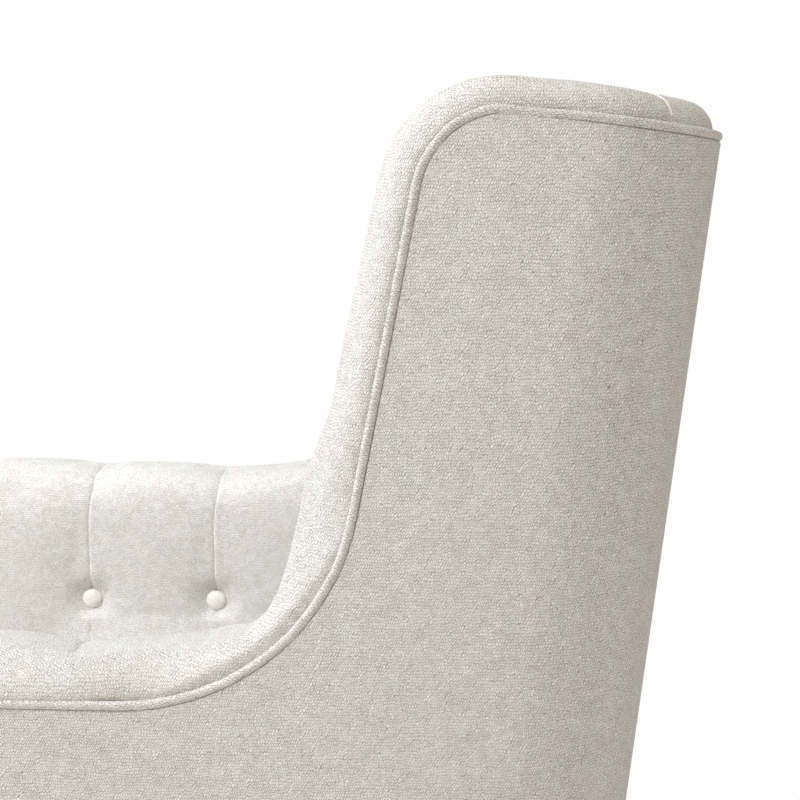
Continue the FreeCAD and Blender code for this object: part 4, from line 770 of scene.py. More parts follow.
@dataclass
class ArmPads:
    """The padding of each arm and wing, from the front's lower edge to the mitre at the rear corner."""

    lines: ShellLines
    padding: Padding = field(default_factory=Padding)
    folds: Folds = Folds()
    inner_roll: float = 40 * MM
    button_height: float = 0.517
    button_drop: float = 9 * MM
    button_places: tuple[float, ...] = (-0.207, -0.069, 0.069)
    drop_reach: float = 45 * MM
    drop_band: Span = (20 * MM, 30 * MM)
    groove: float = 11 * MM
    dimple: float = 20 * MM
    tuft_span: Span = (12 * MM, 34 * MM)
    fold_depth: float = 2.4 * MM
    fold_tail: float = 110 * MM
    tail_share: float = 0.45
    fold_lean: float = 6 * MM
    hollow_depth: float = 1.8 * MM
    hollow_width: float = 26 * MM
    notch: float = 2.6
    heel_place: float = 0.04
    roll_band: Span = (40 * MM, 8 * MM)
    roll_start: float = -40 * MM
    roll_rounds: int = 3
    least_slope: float = 0.2
    snug: float = 6.5 * MM
    snug_band: Span = (32 * MM, 14 * MM)
    lap: float = 3.0 * MM
    seam_lap: float = 5 * MM
    flank_inset: float = 40 * MM
    flank_width: float = 27.5 * MM
    flank_start: float = 3 * MM
    flank_power: float = 2.0
    flank_band: Span = (48 * MM, 36 * MM)
    sweep_width: float = 34 * MM
    sweep_power: float = 1.15
    sweep_depths: Span = (-0.065, 0.010)
    sweep_heights: Span = (0.735, 0.825)
    tuck_height: float = 0.812
    tuck_depth: float = 1.1 * MM
    tuck_rise: float = 0.25
    tuck_shown: float = 0.1
    tuck_band: Span = (50 * MM, 25 * MM)
    free_band: Span = (26 * MM, 12 * MM)
    pleat_hold: float = 0.8

    def build(self) -> Piece:
        """Models the left pad.

        Returns:
            The finished pad.
        """
        pad = copy_nodes("arm_pad_left", "inside_arm_left", "arm_front_left")
        corner = copy_nodes("corner_half", "inside_back")
        wedge = mitre_wedge(self.lines, Side.LEFT, lap=self.seam_lap)
        apply_modifier(corner, "BOOLEAN", operation="INTERSECT", object=wedge, solver="EXACT")
        bpy.data.objects.remove(wedge)
        joined([pad, corner])
        self.padding.skin(pad)
        self.close_grooves(pad)
        self.lower_tufts(pad)
        self.padding.relax(pad, 4)
        self.roll_out(pad)
        self.snug_to_welt(pad)
        self.padding.swell(pad, self.freedom(points_of(pad)))
        self.padding.relax(pad, 2)
        self.round_flank(pad)
        self.padding.refine(pad)
        self.pleat(pad)
        self.tuck(pad)
        smooth(pad)
        return pad

    def roll_out(self, pad: Piece) -> None:
        """Moves the roll from the plain crown to the fuller line of stuffed padding."""
        points = points_of(pad)
        x, y, z = points[:, 0], points[:, 1].copy(), points[:, 2].copy()
        level = self.lines.outside(y, z)
        share = (1 - self.lines.beside(x, self.roll_band)) * soft_step(level, self.roll_start, 0)
        for _ in range(self.roll_rounds):
            miss = self.lines.outside(y, z, full=True) - level
            slope_y, slope_z = self.lines.slope(y, z, full=True)
            steep = np.maximum(slope_y ** 2 + slope_z ** 2, self.least_slope)
            y -= miss * slope_y / steep
            z -= miss * slope_z / steep
        points[:, 1] += share * (y - points[:, 1])
        points[:, 2] += share * (z - points[:, 2])
        set_points(pad, points)

    def tuck(self, pad: Piece) -> None:
        """Draws the short tuck from the welt over the roll, where the wing starts to sweep forward."""
        self.folds.cut_finer(pad, self.tucked)
        points = points_of(pad)
        sink(pad, self.folds.profile(self.tuck_line(points), self.tuck_depth) * self.tuck_reach(points))

    def tucked(self, points: np.ndarray) -> np.ndarray:
        """Whether points lie close to the tuck."""
        drawn = self.tuck_reach(points) > self.tuck_shown
        return drawn & (np.abs(self.tuck_line(points)) < self.folds.reach)

    def tuck_line(self, points: np.ndarray) -> np.ndarray:
        """How far points lie above the tuck, which rises a little towards the front."""
        return points[:, 2] - self.tuck_height - self.tuck_rise * self.lines.level(points)

    def tuck_reach(self, points: np.ndarray) -> np.ndarray:
        """How strong the tuck is: full at the welt, fading over the roll."""
        level = self.lines.level(points)
        return (self.lines.beside(points[:, 0], self.tuck_band)
                * soft_step(level, 1 * MM, 4 * MM) * (1 - soft_step(level, 12 * MM, 24 * MM)))

    def close_grooves(self, pad: Piece) -> None:
        """Lays the cloth straight over the plain grooves, where the folds are drawn later."""
        points = points_of(pad)
        x, y, z = points.T
        rise = np.clip(self.lines.outside(y, z) - self.lines.crown + self.inner_roll, 0, self.inner_roll)
        face = self.lines.inner + self.inner_roll - np.sqrt(self.inner_roll ** 2 - rise ** 2)
        for place in self.button_places:
            clear = np.hypot(y - place, z - self.button_height) > self.dimple
            groove = (np.abs(y - place) < self.groove) & (x < face + self.groove) & (x > face) & clear
            points[groove, 0] = face[groove]
        set_points(pad, points)

    def lower_tufts(self, pad: Piece) -> None:
        """Slides the dimples down the flat face, to where the buttons pull the cloth."""
        points = points_of(pad)
        near = bell(points[:, 2] - self.button_height, self.drop_reach)
        low, high = self.drop_band
        near *= 1 - soft_step(points[:, 0], self.lines.inner + low, self.lines.inner + high)
        points[:, 2] -= self.button_drop * near
        set_points(pad, points)

    @property
    def tuft_height(self) -> float:
        """The height of the buttons as they sit in the cloth."""
        return self.button_height - self.button_drop

    def snug_to_welt(self, pad: Piece) -> None:
        """Fills the roll out beside the welt, so that the welt lies half sunk between roll and panel."""
        points = points_of(pad)
        level = self.lines.level(points)
        beside = self.lines.beside(points[:, 0], self.snug_band)
        beside *= soft_step(level, -1 * MM, 2 * MM) * (1 - soft_step(level, 8 * MM, 38 * MM))
        along_y, along_z = self.lines.slope(points[:, 1], points[:, 2])
        points[:, 0] += self.snug * beside
        points[:, 1] -= self.lap * beside * along_y
        points[:, 2] -= self.lap * beside * along_z
        set_points(pad, points)

    def round_flank(self, pad: Piece) -> None:
        """Rounds the roll down to the welt, as a flat slope where the arm sweeps up to the wing."""
        points = points_of(pad)
        x, y, z = points.T
        level = self.lines.outside(y, z)
        height = self.lines.crown + level - self.lines.outside(y, z, full=True)
        rise = np.clip((level + self.flank_start) / (np.maximum(height, 0) + self.flank_start), 0, 1)
        flat = soft_step(y, *self.sweep_depths) * (1 - soft_step(z, *self.sweep_heights))
        power = self.flank_power + (self.sweep_power - self.flank_power) * flat
        width = self.flank_width + (self.sweep_width - self.flank_width) * flat
        flank = self.lines.half_width - self.flank_inset + width * (1 - rise ** power) ** (1 / power)
        near = self.lines.beside(x, self.flank_band)
        near *= soft_step(level, -2 * self.flank_start, -0.5 * self.flank_start)
        near *= 1 - soft_step(self.lines.rearward(points), -40 * MM, -10 * MM)
        points[:, 0] += near * np.maximum(flank - x, flat * (flank - x))
        set_points(pad, points)
        self.padding.relax(pad, 1)

    def freedom(self, places: np.ndarray) -> np.ndarray:
        """How freely each point of the skin moves.

        Args:
            places: The skin's vertices.

        Returns:
            1 on the padded faces, falling to 0 at buttons, pleats, the welt and what is out of sight.
        """
        x, y, z = places.T
        out = self.lines.outside(y, z)
        inside_face = 1 - soft_step(x, self.lines.inner + 6 * MM, self.lines.inner + 12 * MM)
        roll = soft_step(out, 6 * MM, 14 * MM) * (1 - self.lines.beside(x, self.free_band))
        free = np.maximum(inside_face, roll)
        for place in self.button_places:
            reach = np.hypot(y - place, z - self.tuft_height)
            upper = soft_step(z, self.tuft_height - 60 * MM, self.tuft_height)
            pleat = self.pleat_hold * bell(y - place, 8 * MM) * upper
            free = free * soft_step(reach, *self.tuft_span) * (1 - pleat)
        return free * (1 - soft_step(self.lines.rearward(places), -40 * MM, 0))

    def pleat(self, pad: Piece) -> None:
        """Draws the folds that run from the buttons over the roll.

        Args:
            pad: The swollen pad.
        """
        self.folds.cut_finer(pad, self.shown)
        points = points_of(pad)
        _, y, z = points.T
        tuft, arm = self.tuft_height, self.lines.arm_height
        sunk = np.zeros(len(points))
        for place in self.button_places:
            above = soft_step(z, tuft - 10 * MM, tuft + 10 * MM)
            below = self.tail_share * soft_step(z, tuft - self.fold_tail, tuft) * (1 - above)
            lean = self.fold_lean * soft_step(z, arm - 30 * MM, arm + 30 * MM)
            across = y - place - lean
            crest = 1 + self.notch * soft_step(z, arm - 10 * MM, arm + 20 * MM)
            hollow = self.hollow_depth * crest * bell(across, self.hollow_width)
            drawn = (above + below) * (self.folds.profile(across, self.fold_depth) + hollow)
            if place > self.heel_place:
                drawn *= 1 - soft_step(z, arm - 45 * MM, arm - 5 * MM)
            sunk += drawn
        sink(pad, self.reach(points) * sunk)

    def reach(self, points: np.ndarray) -> np.ndarray:
        """How far the folds reach: the sitter's face and the roll, fading before the welt."""
        x, inner = points[:, 0], self.lines.inner
        face = 1 - soft_step(x, inner + 12 * MM, inner + 20 * MM)
        seen = np.maximum(face, soft_step(self.lines.level(points), 2 * MM, 10 * MM))
        return seen * (1 - soft_step(x, inner + 55 * MM, self.lines.half_width - 14 * MM))

    def shown(self, points: np.ndarray) -> np.ndarray:
        """The points where a fold is drawn."""
        drawn = (self.reach(points) > self.folds.shown) & (points[:, 2] > self.tuft_height - self.fold_tail)
        return drawn & self.folds.near(points[:, 1], self.button_places)

    def dress(self, cloth: Material) -> None:
        """Builds both pads and puts them on the seat."""
        left = self.build()
        right = mirrored(left, "arm_pad_right")
        for pad, side in ((left, Side.LEFT), (right, Side.RIGHT)):
            mount(pad, "seat", "cover_fabric", cloth, f"inside_arm_{side.word}", f"arm_front_{side.word}")


def mitre_wedge(lines: ShellLines, side: Side, lap: float) -> Piece:
    """A cutter for the side half of a rear corner, up to its mitre seam.

    Args:
        lines: The shell's lines.
        side: The side whose corner is cut.
        lap: How far the wedge passes the seam.

    Returns:
        A wedge whose edge lies on the corner's axis.
    """
    point, up, rearward = lines.corner_axis()
    reach = 2 * lines.wall
    height = 4.0
    side_gap, rear_gap = 0.2 * MM, 0.5 * MM
    bpy.ops.mesh.primitive_cube_add(size=1)
    wedge = bpy.context.active_object
    wedge.name = "mitre_wedge"
    middle = point + ACROSS * (reach / 2 - side_gap) + rearward * (reach / 2 - rear_gap)
    turn = Matrix((ACROSS, rearward, up)).transposed().to_4x4()
    wedge.data.transform(Matrix.Diagonal((reach, reach, height, 1)))
    wedge.data.transform(Matrix.Translation(middle) @ turn)
    start, square = lines.corner_seam()
    cut = {"plane_co": start - square * lap, "plane_no": square, "use_fill": True, "clear_inner": True}
    in_edit_mode(wedge, lambda: bpy.ops.mesh.bisect(**cut))
    if side is Side.RIGHT:
        flip(wedge.data)
    return wedge


@dataclass
class BackPad:
    """The tufted inside back with its top roll, between the mitre seams of the rear corners."""

    lines: ShellLines
    padding: Padding = field(default_factory=Padding)
    folds: Folds = Folds()
    lean: float = math.radians(11)
    depth: float = 0.120
    columns: tuple[float, ...] = (-0.140, 0.0, 0.140)
    rows: tuple[float, ...] = (0.600, 0.740, 0.880)
    groove: float = 11 * MM
    dimple: float = 20 * MM
    tuft_span: Span = (12 * MM, 34 * MM)
    seam_lap: float = 5 * MM
    fold_depth: float = 3.2 * MM
    hollow_depth: float = 3.0 * MM
    hollow_width: float = 36 * MM

    def behind_face(self, places: np.ndarray) -> np.ndarray:
        """How far points lie behind the inside back's face."""
        top = self.lines.half_depth - self.depth
        face = top - (self.lines.back_height - places[:, 2]) * math.tan(self.lean)
        return (places[:, 1] - face) * math.cos(self.lean)

    def build(self) -> Piece:
        """Models the pad.

        Returns:
            The finished pad.
        """
        pad = copy_nodes("back_pad", "inside_back")
        for side in Side:
            wedge = mitre_wedge(self.lines, side, lap=-self.seam_lap)
            apply_modifier(pad, "BOOLEAN", operation="DIFFERENCE", object=wedge, solver="EXACT")
            bpy.data.objects.remove(wedge)
        self.padding.skin(pad)
        self.close_grooves(pad)
        self.padding.relax(pad, 4)
        self.lower_top(pad)
        self.padding.swell(pad, self.freedom(points_of(pad)))
        self.padding.relax(pad, 2)
        self.padding.refine(pad)
        self.pleat(pad)
        smooth(pad)
        return pad

    def close_grooves(self, pad: Piece) -> None:
        """Lays the cloth straight over the plain grooves, where the folds are drawn later."""
        points = points_of(pad)
        x, _, z = points.T
        behind = self.behind_face(points)
        for column in self.columns:
            clear = np.min([np.hypot(x - column, z - row) for row in self.rows], axis=0) > self.dimple
            groove = (np.abs(x - column) < self.groove) & (behind < self.groove) & clear
            groove &= z < self.lines.back_height - 40 * MM
            points[groove, 1] -= behind[groove] / math.cos(self.lean)
        set_points(pad, points)

    def lower_top(self, pad: Piece) -> None:
        """Lets the top roll down to the height of the stuffed wings."""
        points = points_of(pad)
        points[:, 2] -= self.lines.top_sink * soft_step(self.lines.level(points), -20 * MM, 6 * MM)
        set_points(pad, points)

    def freedom(self, places: np.ndarray) -> np.ndarray:
        """How freely each point of the skin moves: the face and the roll, but not the tufts and edges."""
        x, _, z = places.T
        face = 1 - soft_step(self.behind_face(places), 4 * MM, 12 * MM)
        roll = soft_step(self.lines.level(places), 6 * MM, 14 * MM)
        sides = soft_step(np.abs(x), self.lines.inner - 14 * MM, self.lines.inner)
        free = np.maximum(face, roll) * (1 - sides)
        for column in self.columns:
            free = free * (1 - bell(x - column, 9 * MM))
            for row in self.rows:
                free = free * soft_step(np.hypot(x - column, z - row), *self.tuft_span)
        return free

    def pleat(self, pad: Piece) -> None:
        """Draws the upright folds between the buttons and over the top."""
        self.folds.cut_finer(pad, self.shown)
        points = points_of(pad)
        sunk = np.zeros(len(points))
        for column in self.columns:
            across = points[:, 0] - column
            sunk += self.folds.profile(across, self.fold_depth)
            sunk += self.hollow_depth * bell(across, self.hollow_width)
        sink(pad, self.reach(points) * sunk)

    def shown(self, points: np.ndarray) -> np.ndarray:
        """The points where a fold is drawn."""
        return self.folds.near(points[:, 0], self.columns) & (self.reach(points) > self.folds.shown)

    def reach(self, points: np.ndarray) -> np.ndarray:
        """How far the folds reach: the face and the roll, fading before the welt."""
        face = 1 - soft_step(self.behind_face(points), 10 * MM, 20 * MM)
        seen = np.maximum(face, soft_step(self.lines.level(points), 0, 8 * MM))
        return seen * (1 - soft_step(points[:, 1], self.lines.rear - 60 * MM, self.lines.rear - 25 * MM))

    def dress(self, cloth: Material) -> None:
        """Builds the pad and puts it on the seat."""
        pad = self.build()
        mount(pad, "seat", "cover_fabric", cloth, "inside_back")


@dataclass
class SeatCushion:
    """The loose box cushion."""

    padding: Padding = field(default_factory=lambda: Padding(cap=10 * MM))
    welt_radius: float = 3.8 * MM
    welt_hold: float = 7 * MM

    def dress(self, cloth: Material) -> None:
        """Builds the cushion and lays it on the seat deck."""
        cushion = copy_nodes("seat_cushion_cover", "seat_cushion")
        low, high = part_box("seat_cushion")
        bottom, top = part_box("cushion_piping")
        self.padding.skin(cushion)
        self.padding.relax(cushion, 4)
        x, y, z = points_of(cushion).T
        free = soft_step(z, low.z + 2 * MM, low.z + 6 * MM)
        edge = soft_step(np.maximum.reduce([np.abs(x) - high.x, low.y - y, y - high.y]), -20 * MM, -12 * MM)
        for welt in (bottom.z + self.welt_radius, top.z - self.welt_radius):
            free = free * (1 - bell(z - welt, self.welt_hold) * edge)
        self.padding.swell(cushion, free)
        self.padding.relax(cushion, 2)
        self.padding.refine(cushion)
        smooth(cushion)
        mount(cushion, "seat", "cover_fabric", cloth, "seat_cushion")


@dataclass
class OuterPanels:
    """The flat outer panels: cloth over board, rolled in at every edge."""

    edge_roll: float = 1.8 * MM
    roll_steps: int = 3

    def panel(self, name: str, node: str) -> Piece:
        """Models one panel from its node.

        Args:
            name: The piece's name.
            node: The node that gives its shape.

        Returns:
            The panel, its edges rolled over.
        """
        piece = copy_nodes(name, node)
        in_edit_mode(piece, lambda: bpy.ops.mesh.dissolve_limited(angle_limit=math.radians(0.5)))
        apply_modifier(piece, "BEVEL", width=self.edge_roll, segments=self.roll_steps, limit_method="ANGLE",
                       angle_limit=math.radians(40), harden_normals=False)
        smooth(piece, 35)
        return piece

    def dress(self, cloth: Material) -> None:
        """Builds the side and back panels and puts them on the seat."""
        for name, node in (("side_panel_left", "outer_side_left"), ("side_panel_right", "outer_side_right"),
                           ("back_panel", "outer_back")):
            mount(self.panel(name, node), "seat", "cover_fabric", cloth, node)


@dataclass
class FrontBorder:
    """The padded border below the seat cushion."""

    padding: Padding = field(default_factory=lambda: Padding(voxel=5 * MM))

    def dress(self, cloth: Material) -> None:
        """Builds the border and puts it on the seat."""
        border = copy_nodes("front_border_cover", "front_border")
        self.padding.skin(border)
        self.padding.relax(border, 3)
        self.padding.refine(border)
        smooth(border)
        mount(border, "seat", "cover_fabric", cloth, "front_border")


@dataclass
class Welts:
    """The welts: cords in bias-cut cloth along the shell's edge and round the cushion."""

    lines: ShellLines
    pucker_place: float = 0.2437
    pucker_width: float = 9 * MM
    pucker_depth: float = 2.2 * MM
    pucker_above: float = 0.9
    pucker_beyond: float = 0.3
    slim: float = 0.6 * MM
    settle: float = 0.9 * MM
    waver: float = 0.5 * MM
    waver_length: float = 52 * MM
    waver_beat: float = 0.37

    def dress(self, cloth: Material) -> None:
        """Builds the welts and puts them on the seat."""
        shell = copy_nodes("shell_welt", "shell_piping")
        places = points_of(shell)
        on_top = (places[:, 2] > self.pucker_above) & (np.abs(places[:, 0]) > self.pucker_beyond)
        sag = self.pucker_depth * bell(places[:, 1] - self.pucker_place, self.pucker_width)
        places[:, 2] -= np.where(on_top, sag, 0)
        turn = (places[:, 1] + places[:, 2]) * 2 * math.pi / self.waver_length
        places[:, 1] += self.waver * np.sin(turn) * np.cos(self.waver_beat * turn)
        along_y, along_z = self.lines.slope(places[:, 1], places[:, 2])
        places[:, 1] -= self.settle * along_y
        places[:, 2] -= self.settle * along_z
        set_points(shell, places - normals_of(shell) * self.slim)
        smooth(shell)
        mount(shell, "seat", "welt_fabric", cloth, "shell_piping")
        loops = copy_nodes("cushion_welts", "cushion_piping")
        smooth(loops)
        mount(loops, "seat", "welt_fabric", cloth, "cushion_piping")


@dataclass
class CoveredButtons:
    """Buttons covered in the same cloth, drawn into the tufts; their cloth is drawn lighter, as painted
    light.
    """

    radius: float = 11 * MM
    rise: float = 6.5 * MM
    arm_drop: float = ArmPads.button_drop
    back_lean: float = BackPad.lean
    under: float = 0.25
    gathers: int = 9
    gather_depth: float = 0.02

    def button(self) -> Piece:
        """Models one button, its dome along +Z from the origin.

        Returns:
            The button.
        """
        bpy.ops.mesh.primitive_uv_sphere_add(segments=32, ring_count=16, radius=self.radius)
        piece = bpy.context.active_object
        low = -UP * (self.under * self.radius)
        cut = {"plane_co": low, "plane_no": UP, "use_fill": True, "clear_inner": True}
        in_edit_mode(piece, lambda: bpy.ops.mesh.bisect(**cut))
        places = points_of(piece)
        places[:, 2] *= self.rise / self.radius
        turn = np.arctan2(places[:, 1], places[:, 0])
        places[:, :2] *= 1 + self.gather_depth * np.cos(self.gathers * turn)[:, None]
        set_points(piece, places)
        apply_modifier(piece, "BEVEL", width=0.8 * MM, segments=2, limit_method="ANGLE")
        smooth(piece)
        return piece

    def dress(self, cloth: Material) -> None:
        """Puts a button in place of each solid button."""
        model = self.button()
        for name, node in (("arm_button_set_left", "arm_buttons_left"),
                           ("arm_button_set_right", "arm_buttons_right"),
                           ("back_button_set", "back_buttons")):
            mount(self.row(name, node, model), "seat", "welt_fabric", cloth, node)
        bpy.data.objects.remove(model)

    def row(self, name: str, node: str, model: Piece) -> Piece:
        """Copies the button to each solid of a node.

        Args:
            name: The new piece's name.
            node: The node of solid buttons.
            model: The button that is copied.

        Returns:
            One piece with all its buttons.
        """
        solids = copy_nodes("solids", node)
        in_edit_mode(solids, lambda: bpy.ops.mesh.separate(type="LOOSE"))
        copies = []
        for solid in list(bpy.context.selected_objects):
            base, way = self.seat_of(points_of(solid), node)
            copy = placed(name, model.data.copy())
            turn = UP.rotation_difference(way).to_matrix().to_4x4()
            copy.data.transform(Matrix.Translation(base) @ turn)
            copies.append(copy)
            bpy.data.objects.remove(solid)
        return joined(copies)

    def seat_of(self, places: np.ndarray, node: str) -> tuple[Vector, Vector]:
        """Where a button sits and which way its dome points."""
        if node == "back_buttons":
            way = Vector((0, -math.cos(self.back_lean), math.sin(self.back_lean)))
        else:
            way = -ACROSS if places.mean(axis=0)[0] > 0 else ACROSS
        heights = places @ np.array(way)
        base = Vector(places[heights < heights.min() + 0.2 * MM].mean(axis=0))
        if node != "back_buttons":
            base.z -= self.arm_drop
        return base, way


@dataclass
class Suspension:
    """Deck cloth and elastic straps under the cushion and behind the back."""
    strap_edge: float = 0.6 * MM
    deck_edge: float = 4 * MM

    def dress(self, webbing: Material, deck_cloth: Material) -> None:
        """Models the straps and the deck and puts them on the seat."""
        for name, node in (("seat_straps", "seat_webbing"), ("back_straps", "back_webbing")):
            straps = copy_nodes(name, node)
            apply_modifier(straps, "BEVEL", width=self.strap_edge, segments=2, limit_method="ANGLE")
            smooth(straps, 40)
            mount(straps, "seat", "webbing", webbing, node)
        deck = copy_nodes("deck_cover", "seat_deck")
        apply_modifier(deck, "BEVEL", width=self.deck_edge, segments=3, limit_method="ANGLE")
        smooth(deck, 40)
        mount(deck, "seat", "deck_cloth", deck_cloth, "seat_deck")


@dataclass
class CornerSeams:
    """A pale ridge along the mitre seam at each rear corner: the ridge is the seam, and its pale colour is a
    painted highlight along the seam's edge.
    """

    lines: ShellLines
    thread: float = 0.8 * MM
    proud: float = 0.35 * MM
    steps: int = 48
    reach: float = 75 * MM
    setback: float = 8 * MM
    sweep: float = 52 * MM
    bend: float = 1.5
    cast_height: float = 0.2

    def ridge(self, pads: list[Piece]) -> Piece:
        """Lays a pale ridge over the left rear corner, on the surface of the roll.

        Args:
            pads: The pads that meet at the seam.

        Returns:
            The ridge as a mesh.
        """
        point, up, rearward = self.lines.corner_axis()
        path = []
        for step in range(self.steps):
            share = 1 - step / self.steps
            back = self.setback + self.sweep * share ** self.bend
            above = point + ACROSS * (self.reach * share) + rearward * back
            above += up * (self.lines.back_height + self.cast_height)
            hits = [pad.ray_cast(above, -up) for pad in pads]
            places = [place for hit, place, _, _ in hits if hit]
            if places:
                path.append(max(places, key=up.dot) + up * self.proud)
        curve = bpy.data.curves.new("corner_seam", "CURVE")
        curve.dimensions = "3D"
        curve.bevel_depth = self.thread
        curve.bevel_resolution = 2
        line = curve.splines.new("NURBS")
        line.points.add(len(path) - 1)
        for spot, place in zip(line.points, path):
            spot.co = (*place, 1)
        line.use_endpoint_u = True
        solo(placed("corner_seam_left", curve))
        bpy.ops.object.convert(target="MESH")
        return bpy.context.view_layer.objects.active

    def dress(self, thread: Material) -> None:
        """Lays the ridge on both corners."""
        left = self.ridge([bpy.data.objects["arm_pad_left"], bpy.data.objects["back_pad"]])
        right = mirrored(left, "corner_seam_right")
        for seam in (left, right):
            smooth(seam)
            mount(seam, "seat", "welt_fabric", thread)


# Base


@dataclass
class RingWelds:
    """Weld beads where the arms of the base cross lie on the floor ring."""

    radius: float = 2.4 * MM
    ripple: float = 1.7 * MM
    swell: float = 0.10
    taper: float = 4 * MM
    drop: float = 0.4 * MM
    arm_width: float = 60 * MM
    side_length: float = 17 * MM
    end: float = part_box("base_cross")[1].x
    height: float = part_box("base_cross")[0].z
    beyond: float = 0.6 * MM
    ripple_steps: int = 4

    def bead(self, length: float) -> Piece:
        """Models a straight bead along X with its ripples, centred on the origin.

        Args:
            length: From end to end.

        Returns:
            The bead.
        """
        bpy.ops.mesh.primitive_circle_add(vertices=10, radius=self.radius, fill_type="NGON",
                                          rotation=(0, math.pi / 2, 0))
        piece = bpy.context.active_object
        solo(piece)
        bpy.ops.object.transform_apply(location=True, rotation=True, scale=True)
        steps = round(length / self.ripple) * self.ripple_steps
        bpy.ops.object.mode_set(mode="EDIT")
        bpy.ops.mesh.select_all(action="SELECT")
        for _ in range(steps):
            bpy.ops.mesh.extrude_region_move(TRANSFORM_OT_translate={"value": (length / steps, 0, 0)})
        bpy.ops.mesh.select_all(action="SELECT")
        bpy.ops.mesh.normals_make_consistent(inside=False)
        bpy.ops.object.mode_set(mode="OBJECT")
        places = points_of(piece)
        places[:, 0] -= length / 2
        wave = 1 + self.swell * np.cos(places[:, 0] * 2 * math.pi / self.ripple)
        ends = soft_step(length / 2 - np.abs(places[:, 0]), -self.taper / 3, self.taper)
        places[:, 1:] *= (wave * ends)[:, None]
        set_points(piece, places)
        return piece

    def dress(self, coat: Material) -> None:
        """Lays a bead along the end and both sides of each arm."""
        across = self.bead(self.arm_width)
        beside = self.bead(self.side_length)
        low = self.height - self.drop
        end = Matrix.Translation((self.end + self.beyond, 0, low)) @ Matrix.Rotation(math.pi / 2, 4, "Z")
        places = [(across, end)]
        for side in Side:
            edge = (self.end - self.side_length / 2, side.value * self.arm_width / 2, low)
            places.append((beside, Matrix.Translation(edge)))
        beads = []
        for quarter in range(4):
            turn = Matrix.Rotation(quarter * math.pi / 2, 4, "Z")
            for model, place in places:
                beads.append(placed("ring_welds", model.data.copy()))
                beads[-1].data.transform(turn @ place)
        bpy.data.objects.remove(across)
        bpy.data.objects.remove(beside)
        welds = joined(beads)
        smooth(welds, 50)
        mount(welds, "base", "black_steel", coat)


# Studio


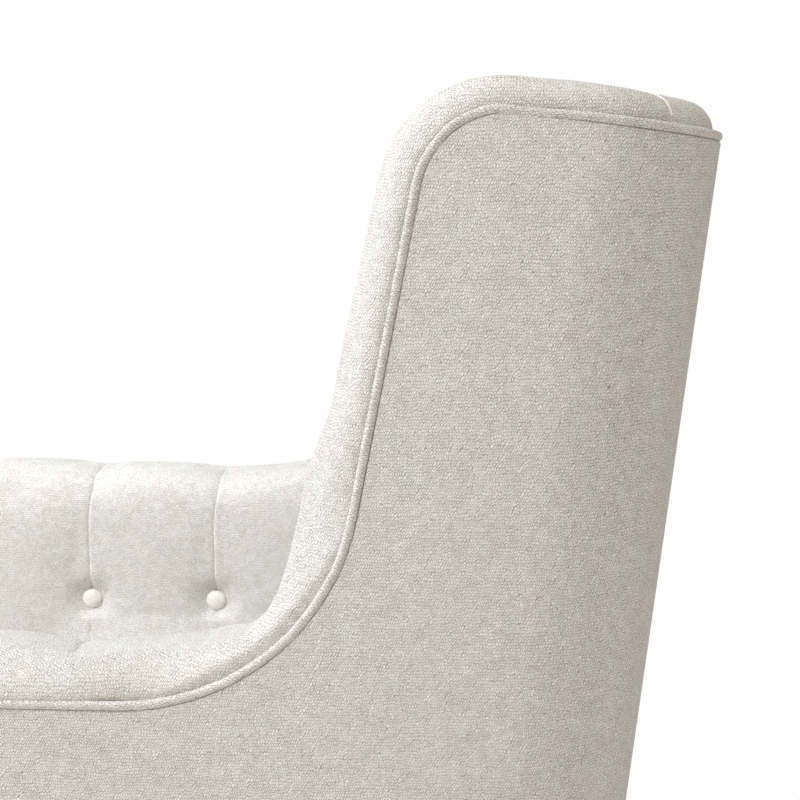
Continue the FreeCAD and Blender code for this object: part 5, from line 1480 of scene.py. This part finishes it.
@dataclass
class Studio:
    """Pale floor, soft light and the camera."""

    camera_place: tuple[float, float, float] = (1.365, 0.220, 0.987)
    yaw: float = math.radians(3.0)
    pitch: float = math.radians(8.78)
    focal_pixels: float = 1550.0
    picture_pixels: float = 800.0
    sensor_mm: float = 36.0
    lamp_light: str = "#F5F9FF"
    warm_light: str = "#FFECD2"
    warm_side: tuple[float, float, float] = (0.8, 0.5, -0.3)
    warm_span: Span = (-0.2, 0.8)
    sky_strength: float = 0.62
    fade_span: Span = (0.5, 1.1)

    def build(self) -> None:
        """Makes the floor, the lamps, the world and the camera."""
        self.floor()
        self.world()
        self.lamp("key", (0.35, -1.7, 2.1), (0.0, 0.0, 0.6), size=1.6, power=28.0)
        self.lamp("side", (1.15, -1.4, 1.3), (0.3, -0.1, 0.6), size=1.0, power=7.5)
        self.lamp("over", (1.0, -0.5, 2.4), (-0.2, 0.0, 0.6), size=1.4, power=15.0)
        self.lamp("inside", (0.25, -0.6, 1.6), (-0.3, -0.1, 0.48), size=0.5, power=0.42,
                  spread=math.radians(42))
        self.camera()

    def floor(self) -> None:
        """A pale floor that keeps the chair's shadow and fades to white far off."""
        bpy.ops.mesh.primitive_plane_add(size=30)
        ground = bpy.context.active_object
        ground.name = "floor"
        made, tree, shader = new_material("pale_floor")
        feed(tree, shader, {"Base Color": linear("#F4F3F1"), "Roughness": 0.9})
        ground.data.materials.append(made)
        place = add_node(tree, "TexCoord").outputs["Object"]
        far = add_node(tree, "VectorMath", {0: place}, operation="LENGTH").outputs["Value"]
        fade = ranged(tree, far, *self.fade_span, 0.0, 1.0, interpolation_type="SMOOTHSTEP")
        glow = add_node(tree, "Emission", {"Color": WHITE, "Strength": 1.0}).outputs[0]
        seen = calc(tree, "MULTIPLY", add_node(tree, "LightPath").outputs["Is Camera Ray"], fade)
        mix = add_node(tree, "MixShader", {0: seen, 1: shader.outputs[0], 2: glow})
        feed(tree, tree.nodes["Material Output"], {"Surface": mix.outputs[0]})

    def world(self) -> None:
        """Even light from all round, a little warmer from the rear and the left, seen as white."""
        world = bpy.data.worlds.new("studio")
        bpy.context.scene.world = world
        world.use_nodes = True
        tree = world.node_tree
        path = add_node(tree, "LightPath").outputs
        seen = calc(tree, "MAXIMUM", path["Is Camera Ray"], path["Is Glossy Ray"])
        seen = calc(tree, "MAXIMUM", seen, path["Is Transmission Ray"])
        way = add_node(tree, "TexCoord").outputs["Generated"]
        lean = add_node(tree, "VectorMath", {0: way, 1: self.warm_side}, operation="DOT_PRODUCT")
        warmth = ranged(tree, lean.outputs["Value"], *self.warm_span)
        share = calc(tree, "MULTIPLY", warmth, calc(tree, "SUBTRACT", 1.0, seen))
        feed(tree, tree.nodes["Background"], {
            "Color": mixed(tree, share, WHITE, self.warm_light),
            "Strength": ranged(tree, seen, 0.0, 1.0, self.sky_strength, 1.0),
        })

    @staticmethod
    def aim(piece: Piece, place: tuple, way: Vector) -> None:
        """Puts a lamp or the camera in a place and points it."""
        piece.location = place
        piece.rotation_mode = "QUATERNION"
        piece.rotation_quaternion = way.to_track_quat("-Z", "Y")

    def lamp(self, name: str, place: tuple, target: tuple, size: float, power: float,
             spread: float = math.pi) -> None:
        """Adds a square soft box that points at a target."""
        data = bpy.data.lights.new(name, "AREA")
        data.size = size
        data.spread = spread
        data.energy = power
        data.color = linear(self.lamp_light)[:3]
        self.aim(placed(name, data), place, Vector(target) - Vector(place))

    def camera(self) -> None:
        """The camera at the photograph's angle."""
        data = bpy.data.cameras.new("camera")
        data.sensor_width = self.sensor_mm
        data.lens = self.focal_pixels / self.picture_pixels * self.sensor_mm
        data.clip_start = 0.01
        camera = placed("camera", data)
        level = Vector((-math.cos(self.yaw), -math.sin(self.yaw), 0))
        self.aim(camera, self.camera_place, level * math.cos(self.pitch) - UP * math.sin(self.pitch))
        bpy.context.scene.camera = camera
        bpy.context.scene.view_settings.view_transform = "Standard"


def dress_frame(materials: dict[str, Material]) -> None:
    """Gives every node that still shows the finish of its slot.

    Args:
        materials: The record's slot names and their finishes.
    """
    slots = {part["node"]: part["material_slot"] for part in frame["record"]["subparts"]}
    for name, node in frame["nodes"].items():
        node.data.materials.clear()
        node.data.materials.append(materials[slots[name]])


def main() -> None:
    """Builds the chair's looks in order."""
    logging.basicConfig(level=logging.INFO, format="%(message)s")
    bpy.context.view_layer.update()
    cloth = LinenWeave().material()
    welt_cloth = LinenWeave(name="linen_look_welt", bias=math.radians(45)).material()
    materials = {
        "cover_fabric": cloth,
        "welt_fabric": welt_cloth,
        "deck_cloth": LinenWeave(name="deck_cloth", yarn="#CFC8BC", float_length_mm=1.6).material(),
        "webbing": ElasticWebbing().material(),
        "frame_wood": FrameTimber().material(),
        "black_steel": PlainFinish("black_powder_coat", "#1B1B1D", "#232326", 0.6, 0.08, 0.45).material(),
        "zinc_steel": PlainFinish("zinc_plated_steel", "#B9BBBD", "#A9ABA6", 0.9, 0.02, 0.35, 1.0).material(),
        "nylon": PlainFinish("black_nylon", "#1E1E20", "#262628", 0.5, 0.03, 0.55).material(),
        "stop_rubber": PlainFinish("moulded_rubber", "#161616", "#202020", 0.8, 0.05, 0.8).material(),
    }
    dress_frame(materials)
    lines = ShellLines()
    OuterPanels().dress(cloth)
    ArmPads(lines).dress(cloth)
    BackPad(lines).dress(cloth)
    SeatCushion().dress(cloth)
    FrontBorder().dress(cloth)
    Welts(lines).dress(welt_cloth)
    # The buttons' cloth is a lighter copy of the cover cloth: painted light, with paler painted shade in its
    # gaps.
    CoveredButtons().dress(LinenWeave("button_cloth_painted_light", yarn="#FAF8F4", gap="#D2CCC2").material())
    Suspension().dress(materials["webbing"], materials["deck_cloth"])
    # The seam ridge's pale colour is a painted highlight along the seam's edge.
    CornerSeams(lines).dress(PlainFinish("seam_highlight", "#F4F1EA", "#ECE8E0", 0.4, 0.05, 0.8).material())
    RingWelds().dress(materials["black_steel"])
    Studio().build()


if __name__ == "__main__":
    main()
